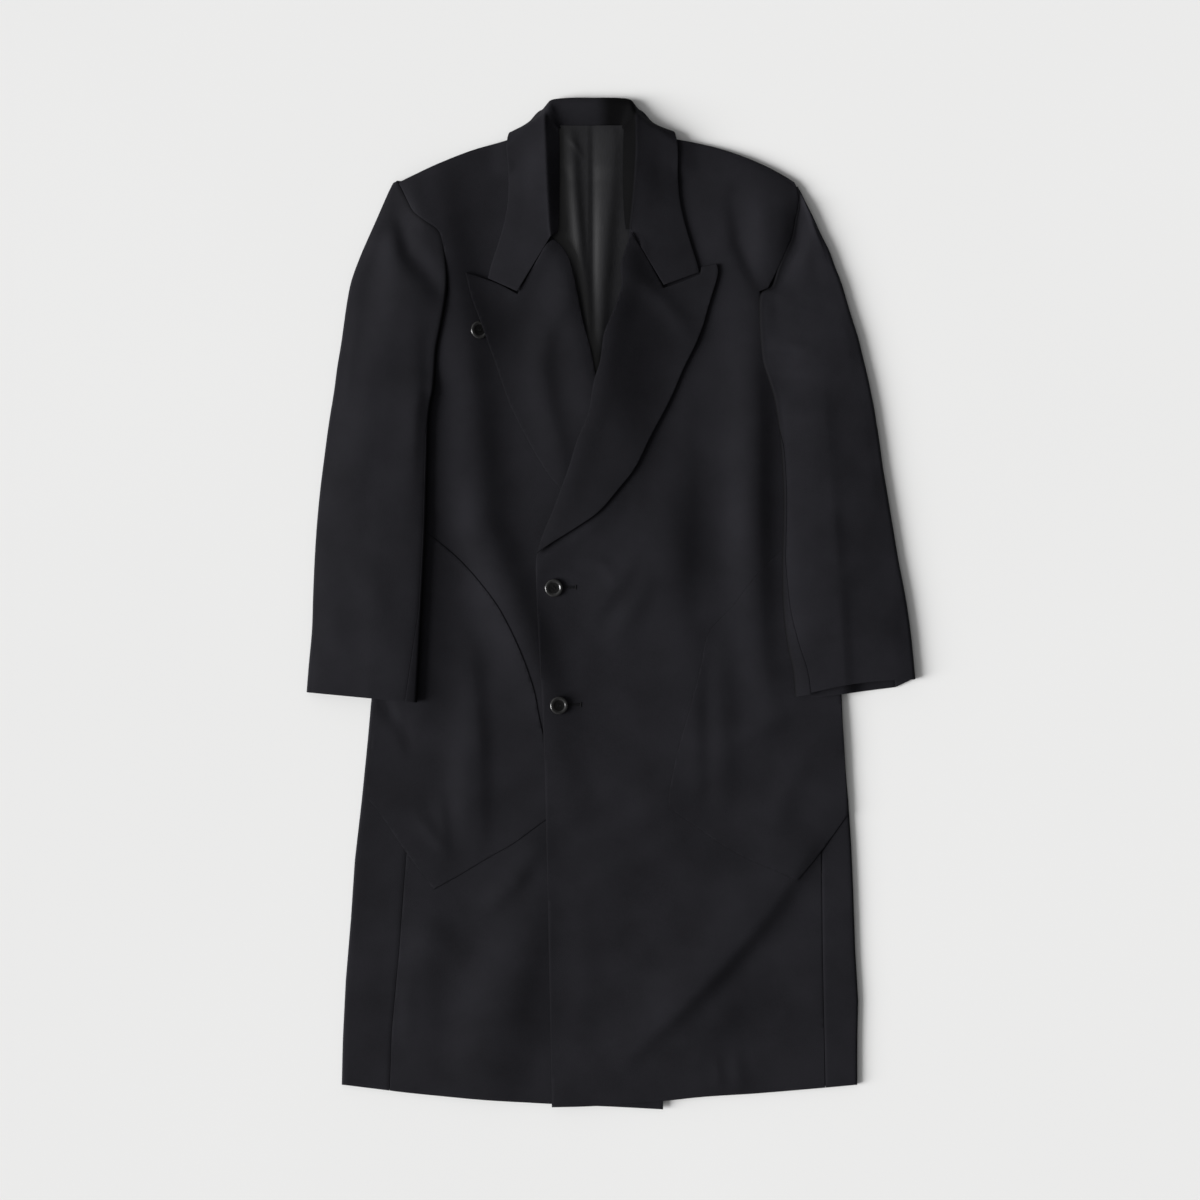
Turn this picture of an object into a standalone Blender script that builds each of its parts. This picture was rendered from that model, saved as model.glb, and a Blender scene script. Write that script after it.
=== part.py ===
"""A long tailored coat with peak lapels, lying flat on its back and closed left over right.

Left and right are the wearer's: the right front is at -X and the left front at +X.
The collar points to +Y, the hems to -Y and the front faces +Z. The tables and the
functions work in millimetres, and the meshes are made in metres.
"""

import math

import bmesh
import bpy
from mathutils import Vector
from mathutils.geometry import delaunay_2d_cdt

MM = 0.001

# Thickness of the cloth walls. The body is outer cloth and lining together.
BODY_WALL = 2.0
SLEEVE_WALL = 2.4
COLLAR_WALL = 2.4
LAPEL_WALL = 2.4
POCKET_WALL = 2.0
LINING_WALL = 1.5

# Space between two pieces at a seam, and between two that lie on each other.
SEAM = 0.3
AIR = 0.8

# Spacing of the points inside a panel, across the body and along it.
ACROSS = 20.0
LONG = 30.0

# Half the height between the middles of the two walls at a side fold and a sleeve fold.
SIDE_FOLD = 2.0
SLEEVE_FOLD = 2.7

# How far the side panel and the top sleeve reach in on the underside.
SIDE_UNDER = 35.0
SLEEVE_UNDER = 41.0
HEM_AT_SIDE = -553.2
ARMPIT = 236.0

# The sleeve on the front: the space under it, the bulge of its top below and above the
# armpit, and where outside the coat's side it starts to climb and over what width.
SLEEVE_AIR = 1.1
TUBE_BULGE = 1.1
CAP_BULGE = 2.2
CLIMB_START = 26.0
CLIMB_WIDTH = 24.0

# Shoulder pads: centre x, y, spread across and along. They fade toward the shoulder line.
PADS = ((-185.0, 440.0, 75.0, 80.0), (160.0, 440.0, 70.0, 80.0))
PAD_HEIGHT = 6.0
PAD_FADE = 26.0

# The soft roll of a lapel: its rise at the neck, what it loses toward the button, its
# width, and the lapel's own swell beside it: height, distance from the roll, width.
ROLL_HEIGHT = 7.0
ROLL_LOSS = 6.0
ROLL_WIDTH = 24.0
SWELL_HEIGHT = 1.2
SWELL_AT = 8.0
SWELL_WIDTH = 14.0

# Outer edge of the body, from the hem to the underarm: y, x.
SIDE_RIGHT = (
    (-553.2, -309.4), (-502.6, -308.2), (-433.6, -304.8), (-364.6, -299.0),
    (-295.6, -294.4), (-226.6, -286.4), (-157.6, -279.5), (-105.8, -274.9),
    (-40.0, -270.0), (40.0, -266.0), (120.0, -261.0), (190.0, -256.0), (236.0, -253.0),
)
SIDE_LEFT = (
    (-553.2, 282.9), (-502.6, 283.0), (-456.6, 284.0), (-399.0, 280.6),
    (-330.0, 278.3), (-278.3, 276.0), (-226.6, 272.6), (-174.8, 268.0),
    (-123.0, 265.7), (-40.0, 262.0), (40.0, 257.0), (120.0, 250.0),
    (190.0, 243.0), (236.0, 239.0),
)
# Side seam on the front of the coat: y, x.
SEAM_RIGHT = (
    (-559.7, -254.1), (-493.4, -251.9), (-442.8, -247.3), (-392.2, -242.7),
    (-282.9, -234.6), (-200.0, -232.0), (-100.0, -232.0), (0.0, -231.0),
    (100.0, -229.0), (190.0, -227.0), (236.0, -226.0),
)
SEAM_LEFT = (
    (-556.4, 246.1), (-455.4, 243.8), (-395.6, 242.7), (-335.8, 242.2),
    (-291.5, 241.5), (-200.0, 237.0), (-100.0, 231.0), (0.0, 225.0),
    (100.0, 219.0), (190.0, 213.0), (236.0, 210.0),
)

# Line on which each lapel rolls over, from the neck to its lowest point.
ROLL_RIGHT = (
    (-62.6, 415.0), (-51.8, 402.5), (-43.7, 380.7), (-39.1, 358.8), (-31.0, 319.7),
    (-24.2, 295.6), (-17.3, 261.1), (-9.2, 217.4), (0.0, 186.3), (8.0, 156.4),
    (16.1, 131.1), (25.3, 103.5), (34.5, 75.9), (39.1, 56.4),
)
ROLL_LEFT = (
    (19.5, 414.0), (12.6, 394.5), (10.3, 383.0), (12.0, 366.9), (6.9, 345.0),
    (0.0, 327.8), (-8.0, 308.2), (-12.7, 276.0), (-19.6, 254.2), (-26.5, 217.4),
    (-39.1, 186.3), (-48.3, 156.4), (-57.5, 131.1), (-67.9, 103.5), (-79.4, 75.9),
    (-85.1, 56.4),
)

# Hem, front edge, neck, shoulder and armhole of each front, without its roll line
# and its side seam.
HEM_RIGHT = (
    (-242.7, -561.2), (-185.2, -567.0), (-127.7, -571.6), (-70.2, -575.0),
    (0.0, -578.2), (59.8, -581.3),
)
EDGE_RIGHT = (
    (59.8, -456.0), (57.5, -295.0), (50.6, -134.0), (44.9, -65.0), (39.1, 3.5),
)
NECK_RIGHT = (
    (-69.6, 421.0), (-68.0, 436.0), (-64.8, 452.0), (-64.0, 480.0), (-64.0, 510.0), (-64.4, 530.0),
    (-68.0, 538.0),
)
SHOULDER_RIGHT = (
    (-78.0, 540.0), (-95.0, 537.0), (-113.0, 532.5), (-126.0, 529.0),
    (-158.5, 520.0), (-194.0, 506.0), (-224.0, 492.0), (-240.5, 484.0),
)
ARMHOLE_RIGHT = (
    (-245.6, 484.5), (-241.2, 477.0), (-234.2, 462.6), (-226.0, 447.4),
    (-212.7, 436.4), (-196.4, 423.6), (-190.4, 398.0), (-186.9, 372.0),
    (-188.0, 350.0), (-199.0, 325.0), (-212.0, 290.0), (-222.0, 260.0),
    (-226.0, 240.0),
)
HEM_LEFT = (
    (-67.9, -578.5), (-24.2, -577.3), (56.4, -571.6), (102.4, -567.0),
    (159.9, -563.5), (217.4, -558.9),
)
ARMHOLE_LEFT = (
    (209.8, 240.0), (198.0, 262.0), (186.0, 300.0), (176.0, 335.0), (170.6, 357.6),
    (180.4, 361.6), (192.2, 384.4), (200.3, 403.3), (207.5, 420.4), (211.2, 440.0),
    (214.7, 456.0), (215.2, 468.0), (212.7, 478.0), (210.5, 483.0),
)
SHOULDER_LEFT = (
    (196.7, 491.5), (167.9, 506.0), (130.0, 520.0), (97.8, 528.0), (80.0, 531.0),
    (60.0, 534.5), (40.0, 537.6), (23.0, 537.4),
)
NECK_LEFT = (
    (18.6, 530.0), (18.4, 510.0), (18.4, 480.0), (19.4, 450.0), (20.6, 424.0),
)
EDGE_LEFT = (
    (-85.1, 3.5), (-81.6, -65.5), (-78.2, -134.5), (-73.6, -295.5), (-70.2, -456.5),
)

# Outline of each lapel beyond its roll line, from the neck end of the roll line,
# down the gorge, over the peak and along the edge to the lowest point.
LAPEL_RIGHT = (
    (-67.0, 416.0), (-72.8, 411.8), (-82.2, 393.2), (-93.0, 376.4), (-107.4, 354.4),
    (-126.5, 364.9), (-141.4, 370.6), (-166.8, 378.9), (-159.9, 350.8),
    (-150.7, 325.5), (-132.3, 273.7), (-116.2, 227.7), (-95.5, 186.3), (-75.9, 153.0),
    (-58.7, 131.1), (-31.0, 103.5), (-8.0, 87.4), (19.6, 70.2), (33.4, 61.0),
)
LAPEL_LEFT = (
    (23.2, 424.0), (38.2, 398.4), (60.2, 361.2), (79.8, 368.0), (102.2, 377.2),
    (103.4, 385.2), (120.8, 388.7), (121.9, 386.4), (123.0, 380.7), (120.8, 369.2),
    (116.2, 354.2), (111.6, 339.3), (105.8, 318.6), (96.6, 295.6), (84.0, 270.3),
    (67.9, 233.5), (44.9, 189.8), (26.5, 153.0), (9.2, 131.1), (-15.0, 103.5),
    (-38.0, 87.4), (-65.6, 70.2), (-79.4, 61.0),
)

# Patch pockets: the curved opening, the bottom point and the outer edge.
POCKET_RIGHT = (
    (-215.0, 83.0), (-193.2, 66.7), (-171.4, 47.2), (-150.7, 24.2), (-130.0, -3.5),
    (-113.9, -33.4), (-98.9, -67.9), (-87.4, -103.5), (-82.8, -128.8),
    (-70.2, -180.6), (-56.8, -229.5), (-57.5, -237.0), (-77.5, -250.7),
    (-113.9, -277.2), (-141.5, -292.7), (-174.8, -312.8), (-203.6, -328.9),
    (-236.9, -284.1), (-270.0, -236.0), (-280.5, -224.0), (-275.0, -157.6),
    (-270.4, -105.8), (-265.5, -40.0), (-261.5, 40.0), (-259.0, 88.0), (-240.0, 92.0),
)
POCKET_LEFT = (
    (202.4, 66.7), (180.6, 47.2), (159.9, 24.2), (139.2, -3.5), (125.0, -18.0),
    (112.7, -32.2), (101.9, -75.9), (88.0, -127.7), (73.6, -180.0), (66.0, -229.5),
    (66.6, -236.0), (95.5, -255.3), (124.2, -276.0), (155.3, -293.3),
    (187.5, -307.0), (213.9, -318.6), (239.2, -287.5), (259.3, -259.9),
    (268.4, -249.0), (264.0, -174.8), (261.2, -123.0), (257.5, -40.0),
    (252.5, 40.0), (249.0, 88.0), (226.0, 82.0),
)

# The lining that shows between the fronts, and a little that they cover.
LINING = (
    (-57.0, 544.6), (-57.4, 500.0), (-75.0, 440.0), (-76.0, 410.0), (-60.0, 350.0),
    (-48.0, 300.0), (-36.0, 255.0), (-30.0, 236.0), (0.0, 236.0), (22.0, 300.0),
    (34.0, 350.0), (36.0, 410.0), (32.0, 440.0), (12.4, 500.0), (12.0, 544.6),
)
BACK_SEAM = (
    (545.8, -21.9), (528.0, -21.4), (514.0, -21.0), (500.0, -20.6), (486.0, -20.2),
    (464.0, -19.6), (400.0, -18.0), (0.0, -11.0), (-563.0, -4.0),
)
BACK_ARMHOLE_RIGHT = (
    (-214.0, 246.0), (-212.0, 262.0), (-206.0, 300.0), (-203.0, 360.0),
    (-206.0, 410.0), (-224.0, 448.0), (-243.5, 482.0),
)
BACK_ARMHOLE_LEFT = (
    (201.0, 246.0), (197.0, 262.0), (188.0, 300.0), (184.0, 360.0), (190.0, 402.0),
    (206.0, 440.0), (209.5, 482.0),
)

# The largest folds, as soft ridges along a path: points, half width, height.
FOLDS = (
    (((-190.9, 187.5), (-135.0, 30.0), (-75.9, -111.6)), 26.0, 3.0),
    (((-171.4, -151.8), (-167.9, -261.0)), 16.0, 2.6),
    (((-127.7, -399.0), (-150.0, -480.0), (-162.0, -548.6)), 22.0, 3.6),
    (((-205.0, -330.0), (-215.0, -430.0), (-222.0, -540.0)), 22.0, 2.2),
    (((156.4, 279.5), (156.4, -42.6)), 22.0, 3.0),
    (((125.4, -54.0), (127.7, -226.6)), 16.0, 2.4),
    (((171.4, 463.5), (173.7, 371.5)), 16.0, 3.0),
)
LEFT_FOLDS = (
    (
        ((200.0, -324.0), (168.2, -350.8), (124.2, -395.6), (75.9, -443.9),
         (32.2, -484.2), (-3.5, -516.4)),
        17.0, 6.0,
    ),
    (((62.0, 199.0), (65.5, -42.6)), 18.0, 2.6),
    (((50.6, 32.2), (20.0, -14.0), (-6.9, -54.0)), 14.0, 2.2),
    (((-58.6, -335.8), (10.4, -309.4), (90.9, -278.3)), 18.0, 2.6),
)

# Each sleeve as lines across it, from the cuff to the shoulder:
# inner point, outer point, distance from the inner edge to the front seam.
SLEEVE_RIGHT = (
    (-222.0, -113.9, -349.6, -102.4, 14.0), (-220.3, -82.0, -347.3, -73.0, 11.0),
    (-218.0, -40.0, -343.5, -31.0, 7.0), (-215.8, 2.0, -342.2, 8.0, 3.0),
    (-213.5, 45.0, -340.4, 50.0, 2.0), (-211.6, 88.0, -337.8, 90.0, 2.0),
    (-210.5, 130.0, -334.0, 130.0, 2.0), (-209.3, 172.0, -329.2, 168.0, 2.0),
    (-208.5, 205.0, -325.4, 197.0, 2.0), (-206.0, 228.0, -322.2, 218.0, 2.0),
    (-202.5, 244.0, -320.0, 231.0, 0.0), (-201.0, 264.0, -317.5, 247.0, 0.0),
    (-199.0, 292.0, -314.5, 270.0, 0.0), (-193.0, 322.0, -310.0, 297.0, 0.0),
    (-188.5, 348.0, -306.5, 322.0, 0.0), (-187.5, 372.0, -303.0, 346.0, 0.0),
    (-191.0, 398.0, -298.0, 370.0, 0.0), (-197.0, 424.0, -288.5, 396.0, 0.0),
    (-213.0, 437.0, -279.5, 417.0, 0.0), (-226.5, 448.0, -271.0, 436.0, 0.0),
    (-235.0, 463.0, -262.7, 455.0, 0.0), (-242.0, 477.0, -255.5, 471.0, 0.0),
)
SLEEVE_LEFT = (
    (210.3, -107.5, 349.6, -87.4, 19.0), (205.0, -78.0, 347.2, -62.0, 17.0),
    (199.5, -50.0, 343.8, -30.0, 14.0), (194.3, -10.0, 338.1, 8.0, 9.0),
    (192.3, 37.0, 330.0, 50.0, 5.0), (193.3, 75.0, 324.2, 85.0, 2.0),
    (194.4, 118.0, 318.0, 122.0, 2.0), (192.5, 155.0, 312.5, 155.0, 2.0),
    (190.0, 190.0, 308.6, 183.0, 2.0), (187.5, 218.0, 305.0, 206.0, 2.0),
    (185.0, 238.0, 302.5, 222.0, 0.0), (180.0, 258.0, 299.0, 240.0, 0.0),
    (173.7, 278.0, 295.2, 258.0, 0.0), (170.8, 306.0, 289.8, 280.0, 0.0),
    (169.6, 334.0, 284.0, 304.0, 0.0), (171.5, 354.5, 277.0, 326.0, 0.0),
    (184.8, 362.8, 271.0, 346.0, 0.0), (193.0, 384.0, 265.0, 366.0, 0.0),
    (201.0, 403.0, 257.2, 386.0, 0.0), (208.2, 420.0, 250.5, 404.0, 0.0),
    (212.0, 440.0, 240.8, 423.0, 0.0), (215.5, 456.0, 232.4, 441.0, 0.0),
    (216.0, 468.0, 224.2, 457.0, 0.0),
)
# Lines of each table that are a closed tube, and lines that lie over the front.
TUBE_LINES = 10
OVER_LINES_RIGHT = 15
OVER_LINES_LEFT = 16

# The collar from its right point round the neck to its left point. Each row runs from
# the neck seam over the roll and a turning point to the outer edge: neck x, y;
# roll x, y, z; turn x, y, z; edge x, y, z. A height of None rests on the front.
COLLAR_ROWS = (
    (-61.6, 425.5, -69.0, 419.8, 17.8, -107.6, 357.2, None, -141.1, 372.4, None),
    (-60.6, 436.0, -70.7, 433.6, 18.2, -104.7, 396.8, None, -136.9, 388.7, None),
    (-60.2, 454.0, -71.9, 452.0, 18.6, -102.4, 423.2, None, -130.0, 409.4, None),
    (-60.0, 475.0, -73.0, 472.7, 19.0, -98.9, 449.7, None, -123.1, 432.4, None),
    (-59.8, 497.0, -73.9, 495.7, 20.0, -97.8, 475.0, None, -118.1, 460.0, None),
    (-59.8, 519.0, -74.8, 518.7, 20.0, -98.9, 500.3, None, -117.3, 488.8, None),
    (-60.0, 534.0, -75.7, 539.4, 19.0, -100.0, 525.6, None, -119.0, 513.2, None),
    (-60.4, 539.0, -76.0, 551.0, 17.0, -100.4, 540.4, None, -119.6, 525.4, None),
    (-60.2, 543.0, -75.6, 557.6, 15.0, -99.0, 547.0, 9.0, -115.6, 539.4, 6.0),
    (-59.0, 544.4, -74.8, 563.4, 12.0, -94.2, 551.8, 2.2, -106.0, 524.0, 1.2),
    (-56.0, 545.8, -72.6, 571.4, 8.5, -80.2, 563.4, 1.8, -81.7, 514.0, 1.2),
    (-50.0, 547.0, -66.6, 577.4, 6.0, -64.0, 549.7, 1.2, -58.0, 512.5, 1.2),
    (-38.0, 547.0, -44.9, 579.5, 5.4, -42.6, 549.7, 1.2, -39.1, 512.9, 1.2),
    (-21.9, 547.0, -21.9, 579.5, 5.4, -21.9, 549.7, 1.2, -21.9, 513.5, 1.2),
    (-6.0, 547.0, 1.2, 579.5, 5.4, -1.2, 549.7, 1.2, -4.6, 512.9, 1.2),
    (5.0, 547.0, 20.2, 577.8, 6.0, 18.0, 549.7, 1.2, 12.4, 512.5, 1.2),
    (11.0, 545.8, 25.6, 571.8, 8.5, 33.4, 563.4, 1.8, 39.1, 514.0, 1.2),
    (13.6, 544.4, 28.0, 563.4, 12.0, 47.0, 551.8, 2.2, 60.0, 524.0, 1.2),
    (14.6, 543.0, 28.6, 557.6, 15.0, 52.4, 547.0, 9.0, 70.8, 540.4, 6.0),
    (15.0, 539.0, 28.8, 551.0, 17.0, 57.0, 540.4, None, 75.4, 529.0, None),
    (14.8, 534.0, 28.8, 539.4, 19.0, 55.2, 525.6, None, 76.6, 514.0, None),
    (14.4, 519.0, 28.8, 518.7, 20.0, 54.0, 500.3, None, 76.5, 491.0, None),
    (14.2, 497.0, 27.6, 496.0, 20.0, 55.2, 475.0, None, 78.2, 466.0, None),
    (14.4, 475.0, 25.9, 473.0, 19.0, 56.4, 452.0, None, 83.2, 440.0, None),
    (15.2, 454.0, 24.2, 452.0, 18.0, 59.8, 425.0, None, 90.7, 414.0, None),
    (16.4, 438.0, 22.6, 437.0, 17.0, 61.0, 399.0, None, 97.4, 393.0, None),
    (17.6, 428.0, 21.9, 428.0, 16.0, 60.6, 364.6, None, 101.0, 379.4, None),
)

# Buttons: centre x, y. The last one is partly under the right lapel.
BUTTON_RADIUS = 10.5
BUTTON_HEIGHT = 3.4
BUTTONS_LEFT_FRONT = ((-65.6, 17.3), (-59.8, -117.3))
BUTTON_RIGHT_FRONT = (-150.7, 312.8)


def smooth(t):
    """Runs softly from 0 to 1 while t does."""
    t = min(max(t, 0.0), 1.0)
    return t * t * (3.0 - 2.0 * t)


def at(table, y):
    """The second column of a table at a value of its first."""
    rows = sorted(table)
    if y <= rows[0][0]:
        return rows[0][1]
    for (y0, x0), (y1, x1) in zip(rows, rows[1:]):
        if y <= y1:
            return x0 + (x1 - x0) * (y - y0) / (y1 - y0)
    return rows[-1][1]


def distance(path, x, y):
    """The distance to an open path in plan, and how far along it the nearest point is."""
    best = (1e9, 0.0)
    last = len(path) - 1
    for step in range(last):
        (x0, y0), (x1, y1) = path[step], path[step + 1]
        dx, dy = x1 - x0, y1 - y0
        t = ((x - x0) * dx + (y - y0) * dy) / (dx * dx + dy * dy)
        t = min(max(t, 0.0), 1.0)
        gap = math.hypot(x - x0 - t * dx, y - y0 - t * dy)
        if gap < best[0]:
            best = (gap, (step + t) / last)
    return best


def inside(outline, x, y):
    """Whether a point is inside a closed outline."""
    odd = False
    for (x0, y0), (x1, y1) in zip(outline, outline[1:] + outline[:1]):
        if (y0 > y) != (y1 > y) and x < x0 + (x1 - x0) * (y - y0) / (y1 - y0):
            odd = not odd
    return odd


def cover(outline, x, y, fade=24.0):
    """1 over an outline and a little round it, fading to 0 outside."""
    if inside(outline, x, y):
        return 1.0
    gap = distance(outline + outline[:1], x, y)[0]
    return 1.0 - smooth((gap - 3.0) / fade)


def ridges(table, x, y):
    """Height that a table of folds adds, highest in the middle of each path."""
    total = 0.0
    for path, width, height in table:
        gap, t = distance(path, x, y)
        if gap < 3.0 * width:
            rise = 0.35 + 0.65 * math.sin(math.pi * t)
            total += height * rise * math.exp(-((gap / width) ** 2))
    return total


def side_line(seam, low, high, step=45.0):
    """Points of a side seam from low y to high y, its table's rows among them."""
    rows = [y for y, _ in seam if low < y < high]
    count = max(1, round((high - low) / step))
    rows += [low + (high - low) * n / count for n in range(count + 1)]
    kept = []
    for y in sorted(rows):
        if not kept or y - kept[-1] > 8.0:
            kept.append(y)
    kept[-1] = high
    return [(at(seam, y), y) for y in kept]


RIGHT_FRONT = (
    HEM_RIGHT
    + EDGE_RIGHT
    + tuple(reversed(ROLL_RIGHT))
    + NECK_RIGHT
    + SHOULDER_RIGHT
    + ARMHOLE_RIGHT
    + tuple(reversed(side_line(SEAM_RIGHT, -559.7, ARMPIT)))
)
LEFT_FRONT = (
    HEM_LEFT
    + tuple(side_line(SEAM_LEFT, -556.4, ARMPIT))
    + ARMHOLE_LEFT
    + SHOULDER_LEFT
    + NECK_LEFT
    + ROLL_LEFT
    + EDGE_LEFT
)
UNDER_LAPEL = LAPEL_RIGHT + tuple(reversed(ROLL_RIGHT))
TOP_LAPEL = LAPEL_LEFT + tuple(reversed(ROLL_LEFT))
SHOULDER_LINE_RIGHT = ((-60.0, 541.5),) + SHOULDER_RIGHT + ((-245.6, 482.0),)
SHOULDER_LINE_LEFT = ((211.0, 482.0),) + SHOULDER_LEFT + ((14.0, 541.0),)


def back_floor(x, y):
    """Underside of the back: on the table, and over the collar at the neck."""
    sideways = smooth((x + 130.0) / 13.0) * smooth((92.0 - x) / 13.0)
    return 3.0 * sideways * smooth((y - 484.0) / 20.0)


def lining_floor(x, y):
    return back_floor(x, y) + BODY_WALL + SEAM + 0.6 * cover(LINING, x, y, 14.0)


def base(x, y):
    """Underside of the cloth that lies over the back, without what one front adds."""
    height = lining_floor(x, y)
    height += (LINING_WALL + SEAM) * cover(LINING, x, y, 14.0)
    height += 2 * SIDE_FOLD - BODY_WALL - SEAM
    pad = 0.0
    for px, py, across, along in PADS:
        pad += math.exp(-(((x - px) / across) ** 2) - ((y - py) / along) ** 2)
    line = SHOULDER_LINE_RIGHT if x < -20.0 else SHOULDER_LINE_LEFT
    edge = min(distance(line, x, y)[0] / PAD_FADE, 1.0)
    height += PAD_HEIGHT * pad * math.sqrt(1.0 - (1.0 - edge) ** 2)
    return height + ridges(FOLDS, x, y)


def roll_rise(line, x, y):
    """How far the soft roll of a lapel lifts the front beneath it."""
    gap, t = distance(line, x, y)
    height = ROLL_HEIGHT - ROLL_LOSS * smooth(t * 1.3)
    return height * math.exp(-((gap / ROLL_WIDTH) ** 2))


def swell(line, x, y):
    """How far a lapel swells off the front beside its roll."""
    gap = distance(line, x, y)[0]
    return SWELL_HEIGHT * math.exp(-(((gap - SWELL_AT) / SWELL_WIDTH) ** 2))


def right_front_floor(x, y):
    return base(x, y) + roll_rise(ROLL_RIGHT, x, y)


def right_lapel_rise(x, y):
    """Underside of the right lapel over the top of the right front."""
    button = math.hypot(x - BUTTON_RIGHT_FRONT[0], y - BUTTON_RIGHT_FRONT[1])
    lift = (BUTTON_HEIGHT + 0.5) * (1.0 - smooth((button - 12.0) / 26.0))
    return AIR + swell(ROLL_RIGHT, x, y) + lift


def right_lapel_floor(x, y):
    return right_front_floor(x, y) + BODY_WALL + right_lapel_rise(x, y)


def right_pocket_floor(x, y):
    return right_front_floor(x, y) + BODY_WALL + AIR


def left_front_floor(x, y):
    """The left front lies over the right front, its lapel and its pocket."""
    height = base(x, y) + roll_rise(ROLL_LEFT, x, y) + ridges(LEFT_FOLDS, x, y)
    front = cover(RIGHT_FRONT, x, y)
    height += front * (BODY_WALL + AIR + roll_rise(ROLL_RIGHT, x, y))
    lapel = cover(UNDER_LAPEL, x, y)
    height += lapel * (LAPEL_WALL + AIR + 1.8)
    pocket = cover(POCKET_RIGHT, x, y)
    return height + pocket * (POCKET_WALL + AIR + 0.4)


def left_lapel_floor(x, y):
    rise = AIR + 0.9 + swell(ROLL_LEFT, x, y)
    return left_front_floor(x, y) + BODY_WALL + rise


def left_pocket_floor(x, y):
    return left_front_floor(x, y) + BODY_WALL + AIR


def outline_points(outline, spacing):
    """The outline with its long edges divided."""
    points = []
    for (x0, y0), (x1, y1) in zip(outline, outline[1:] + outline[:1]):
        parts = max(1, round(math.hypot(x1 - x0, y1 - y0) / spacing))
        for part in range(parts):
            t = part / parts
            points.append((x0 + t * (x1 - x0), y0 + t * (y1 - y0)))
    return points


def make_object(name, vertices, faces, material):
    """A mesh object from points in millimetres. Points that no face uses are left out."""
    mesh = bpy.data.meshes.new(name)
    bm = bmesh.new()
    used = sorted({index for face in faces for index in face})
    made = {index: bm.verts.new(Vector(vertices[index]) * MM) for index in used}
    for face in faces:
        bm.faces.new([made[index] for index in face])
    bm.normal_update()
    bm.to_mesh(mesh)
    bm.free()
    mesh.shade_smooth()
    mesh.set_sharp_from_angle(angle=math.radians(50.0))
    mesh.materials.append(material)
    obj = bpy.data.objects.new(name, mesh)
    bpy.context.scene.collection.objects.link(obj)
    return obj


def close_wall(name, front, back, faces, material):
    """A wall between two sheets of the same faces, closed along their open edges."""
    count = len(front)
    sides = {}
    for face in faces:
        for a, b in zip(face, face[1:] + face[:1]):
            sides[(a, b)] = True
    solid = [tuple(face) for face in faces]
    solid += [tuple(count + index for index in reversed(face)) for face in faces]
    for a, b in sides:
        if (b, a) not in sides:
            solid.append((b, a, count + a, count + b))
    return make_object(name, front + back, solid, material)


def lattice(across, long, low, high):
    """Staggered points over the whole coat between two heights."""
    for row in range(math.ceil(low / long), math.ceil(high / long)):
        for column in range(-math.ceil(350.0 / across), math.ceil(350.0 / across)):
            yield (column + 0.5 * (row % 2)) * across, row * long


def panel(name, outline, floor, thickness, material, across=ACROSS, long=LONG, fine=600.0):
    """A flat-lying piece of cloth: its outline, and the height of its underside."""
    squash = across / long
    border = outline_points(outline, across * 1.2)
    points = [Vector((x, y * squash)) for x, y in border]
    closed = tuple(border) + (border[0],)
    spread = [(x, y, 0.45 * across) for x, y in lattice(across, long, -600.0, fine)]
    spread += [(x, y, 7.0) for x, y in lattice(17.0, 15.0, fine, 600.0)]
    for x, y, clear in spread:
        if inside(tuple(border), x, y) and distance(closed, x, y)[0] > clear:
            points.append(Vector((x, y * squash)))
    edge = [list(range(len(border)))]
    found, _, faces, _, _, _ = delaunay_2d_cdt(points, [], edge, 1, 1e-5)
    under, over = [], []
    for point in found:
        x, y = point.x, point.y / squash
        z = floor(x, y)
        under.append((x, y, z))
        over.append((x, y, z + thickness))
    turned = []
    for face in faces:
        (x0, y0), (x1, y1), (x2, y2) = (over[index][:2] for index in face)
        area = (x1 - x0) * (y2 - y0) - (x2 - x0) * (y1 - y0)
        turned.append(tuple(face) if area > 0 else tuple(reversed(face)))
    return close_wall(name, over, under, turned, material)


def wall_of(name, rows, thickness, keep, material):
    """A wall of cloth along rows of middle points. keep says which cells exist."""
    rows = [[Vector(point) for point in row] for row in rows]
    tall, wide = len(rows), len(rows[0])
    front, back = [], []
    for i in range(tall):
        for j in range(wide):
            along = rows[min(i + 1, tall - 1)][j] - rows[max(i - 1, 0)][j]
            over = rows[i][min(j + 1, wide - 1)] - rows[i][max(j - 1, 0)]
            normal = over.cross(along).normalized()
            middle = rows[i][j]
            front.append(tuple(middle + normal * thickness / 2))
            back.append(tuple(middle - normal * thickness / 2))
    faces = []
    for i in range(tall - 1):
        for j in range(wide - 1):
            if keep(i, j):
                a = i * wide + j
                faces.append((a, a + 1, a + wide + 1, a + wide))
    return close_wall(name, front, back, faces, material)


def fabric(name, color, roughness):
    material = bpy.data.materials.new(name)
    material.use_nodes = True
    shader = material.node_tree.nodes["Principled BSDF"]
    shader.inputs["Base Color"].default_value = (*color, 1.0)
    shader.inputs["Roughness"].default_value = roughness
    shader.inputs["Metallic"].default_value = 0.0
    return material


def wool(name):
    return fabric(name, (0.012, 0.012, 0.014), 0.85)


def side_rows(seam, hem_seam, hem_side):
    """Where each line across a side panel starts and ends: y at its seam, y at the fold."""
    pairs = []
    for _, y in side_line(seam, hem_seam, ARMPIT):
        t = (y - hem_seam) / (ARMPIT - hem_seam)
        pairs.append((y, hem_side + (ARMPIT - 10.0 - hem_side) * t))
    return pairs


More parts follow.
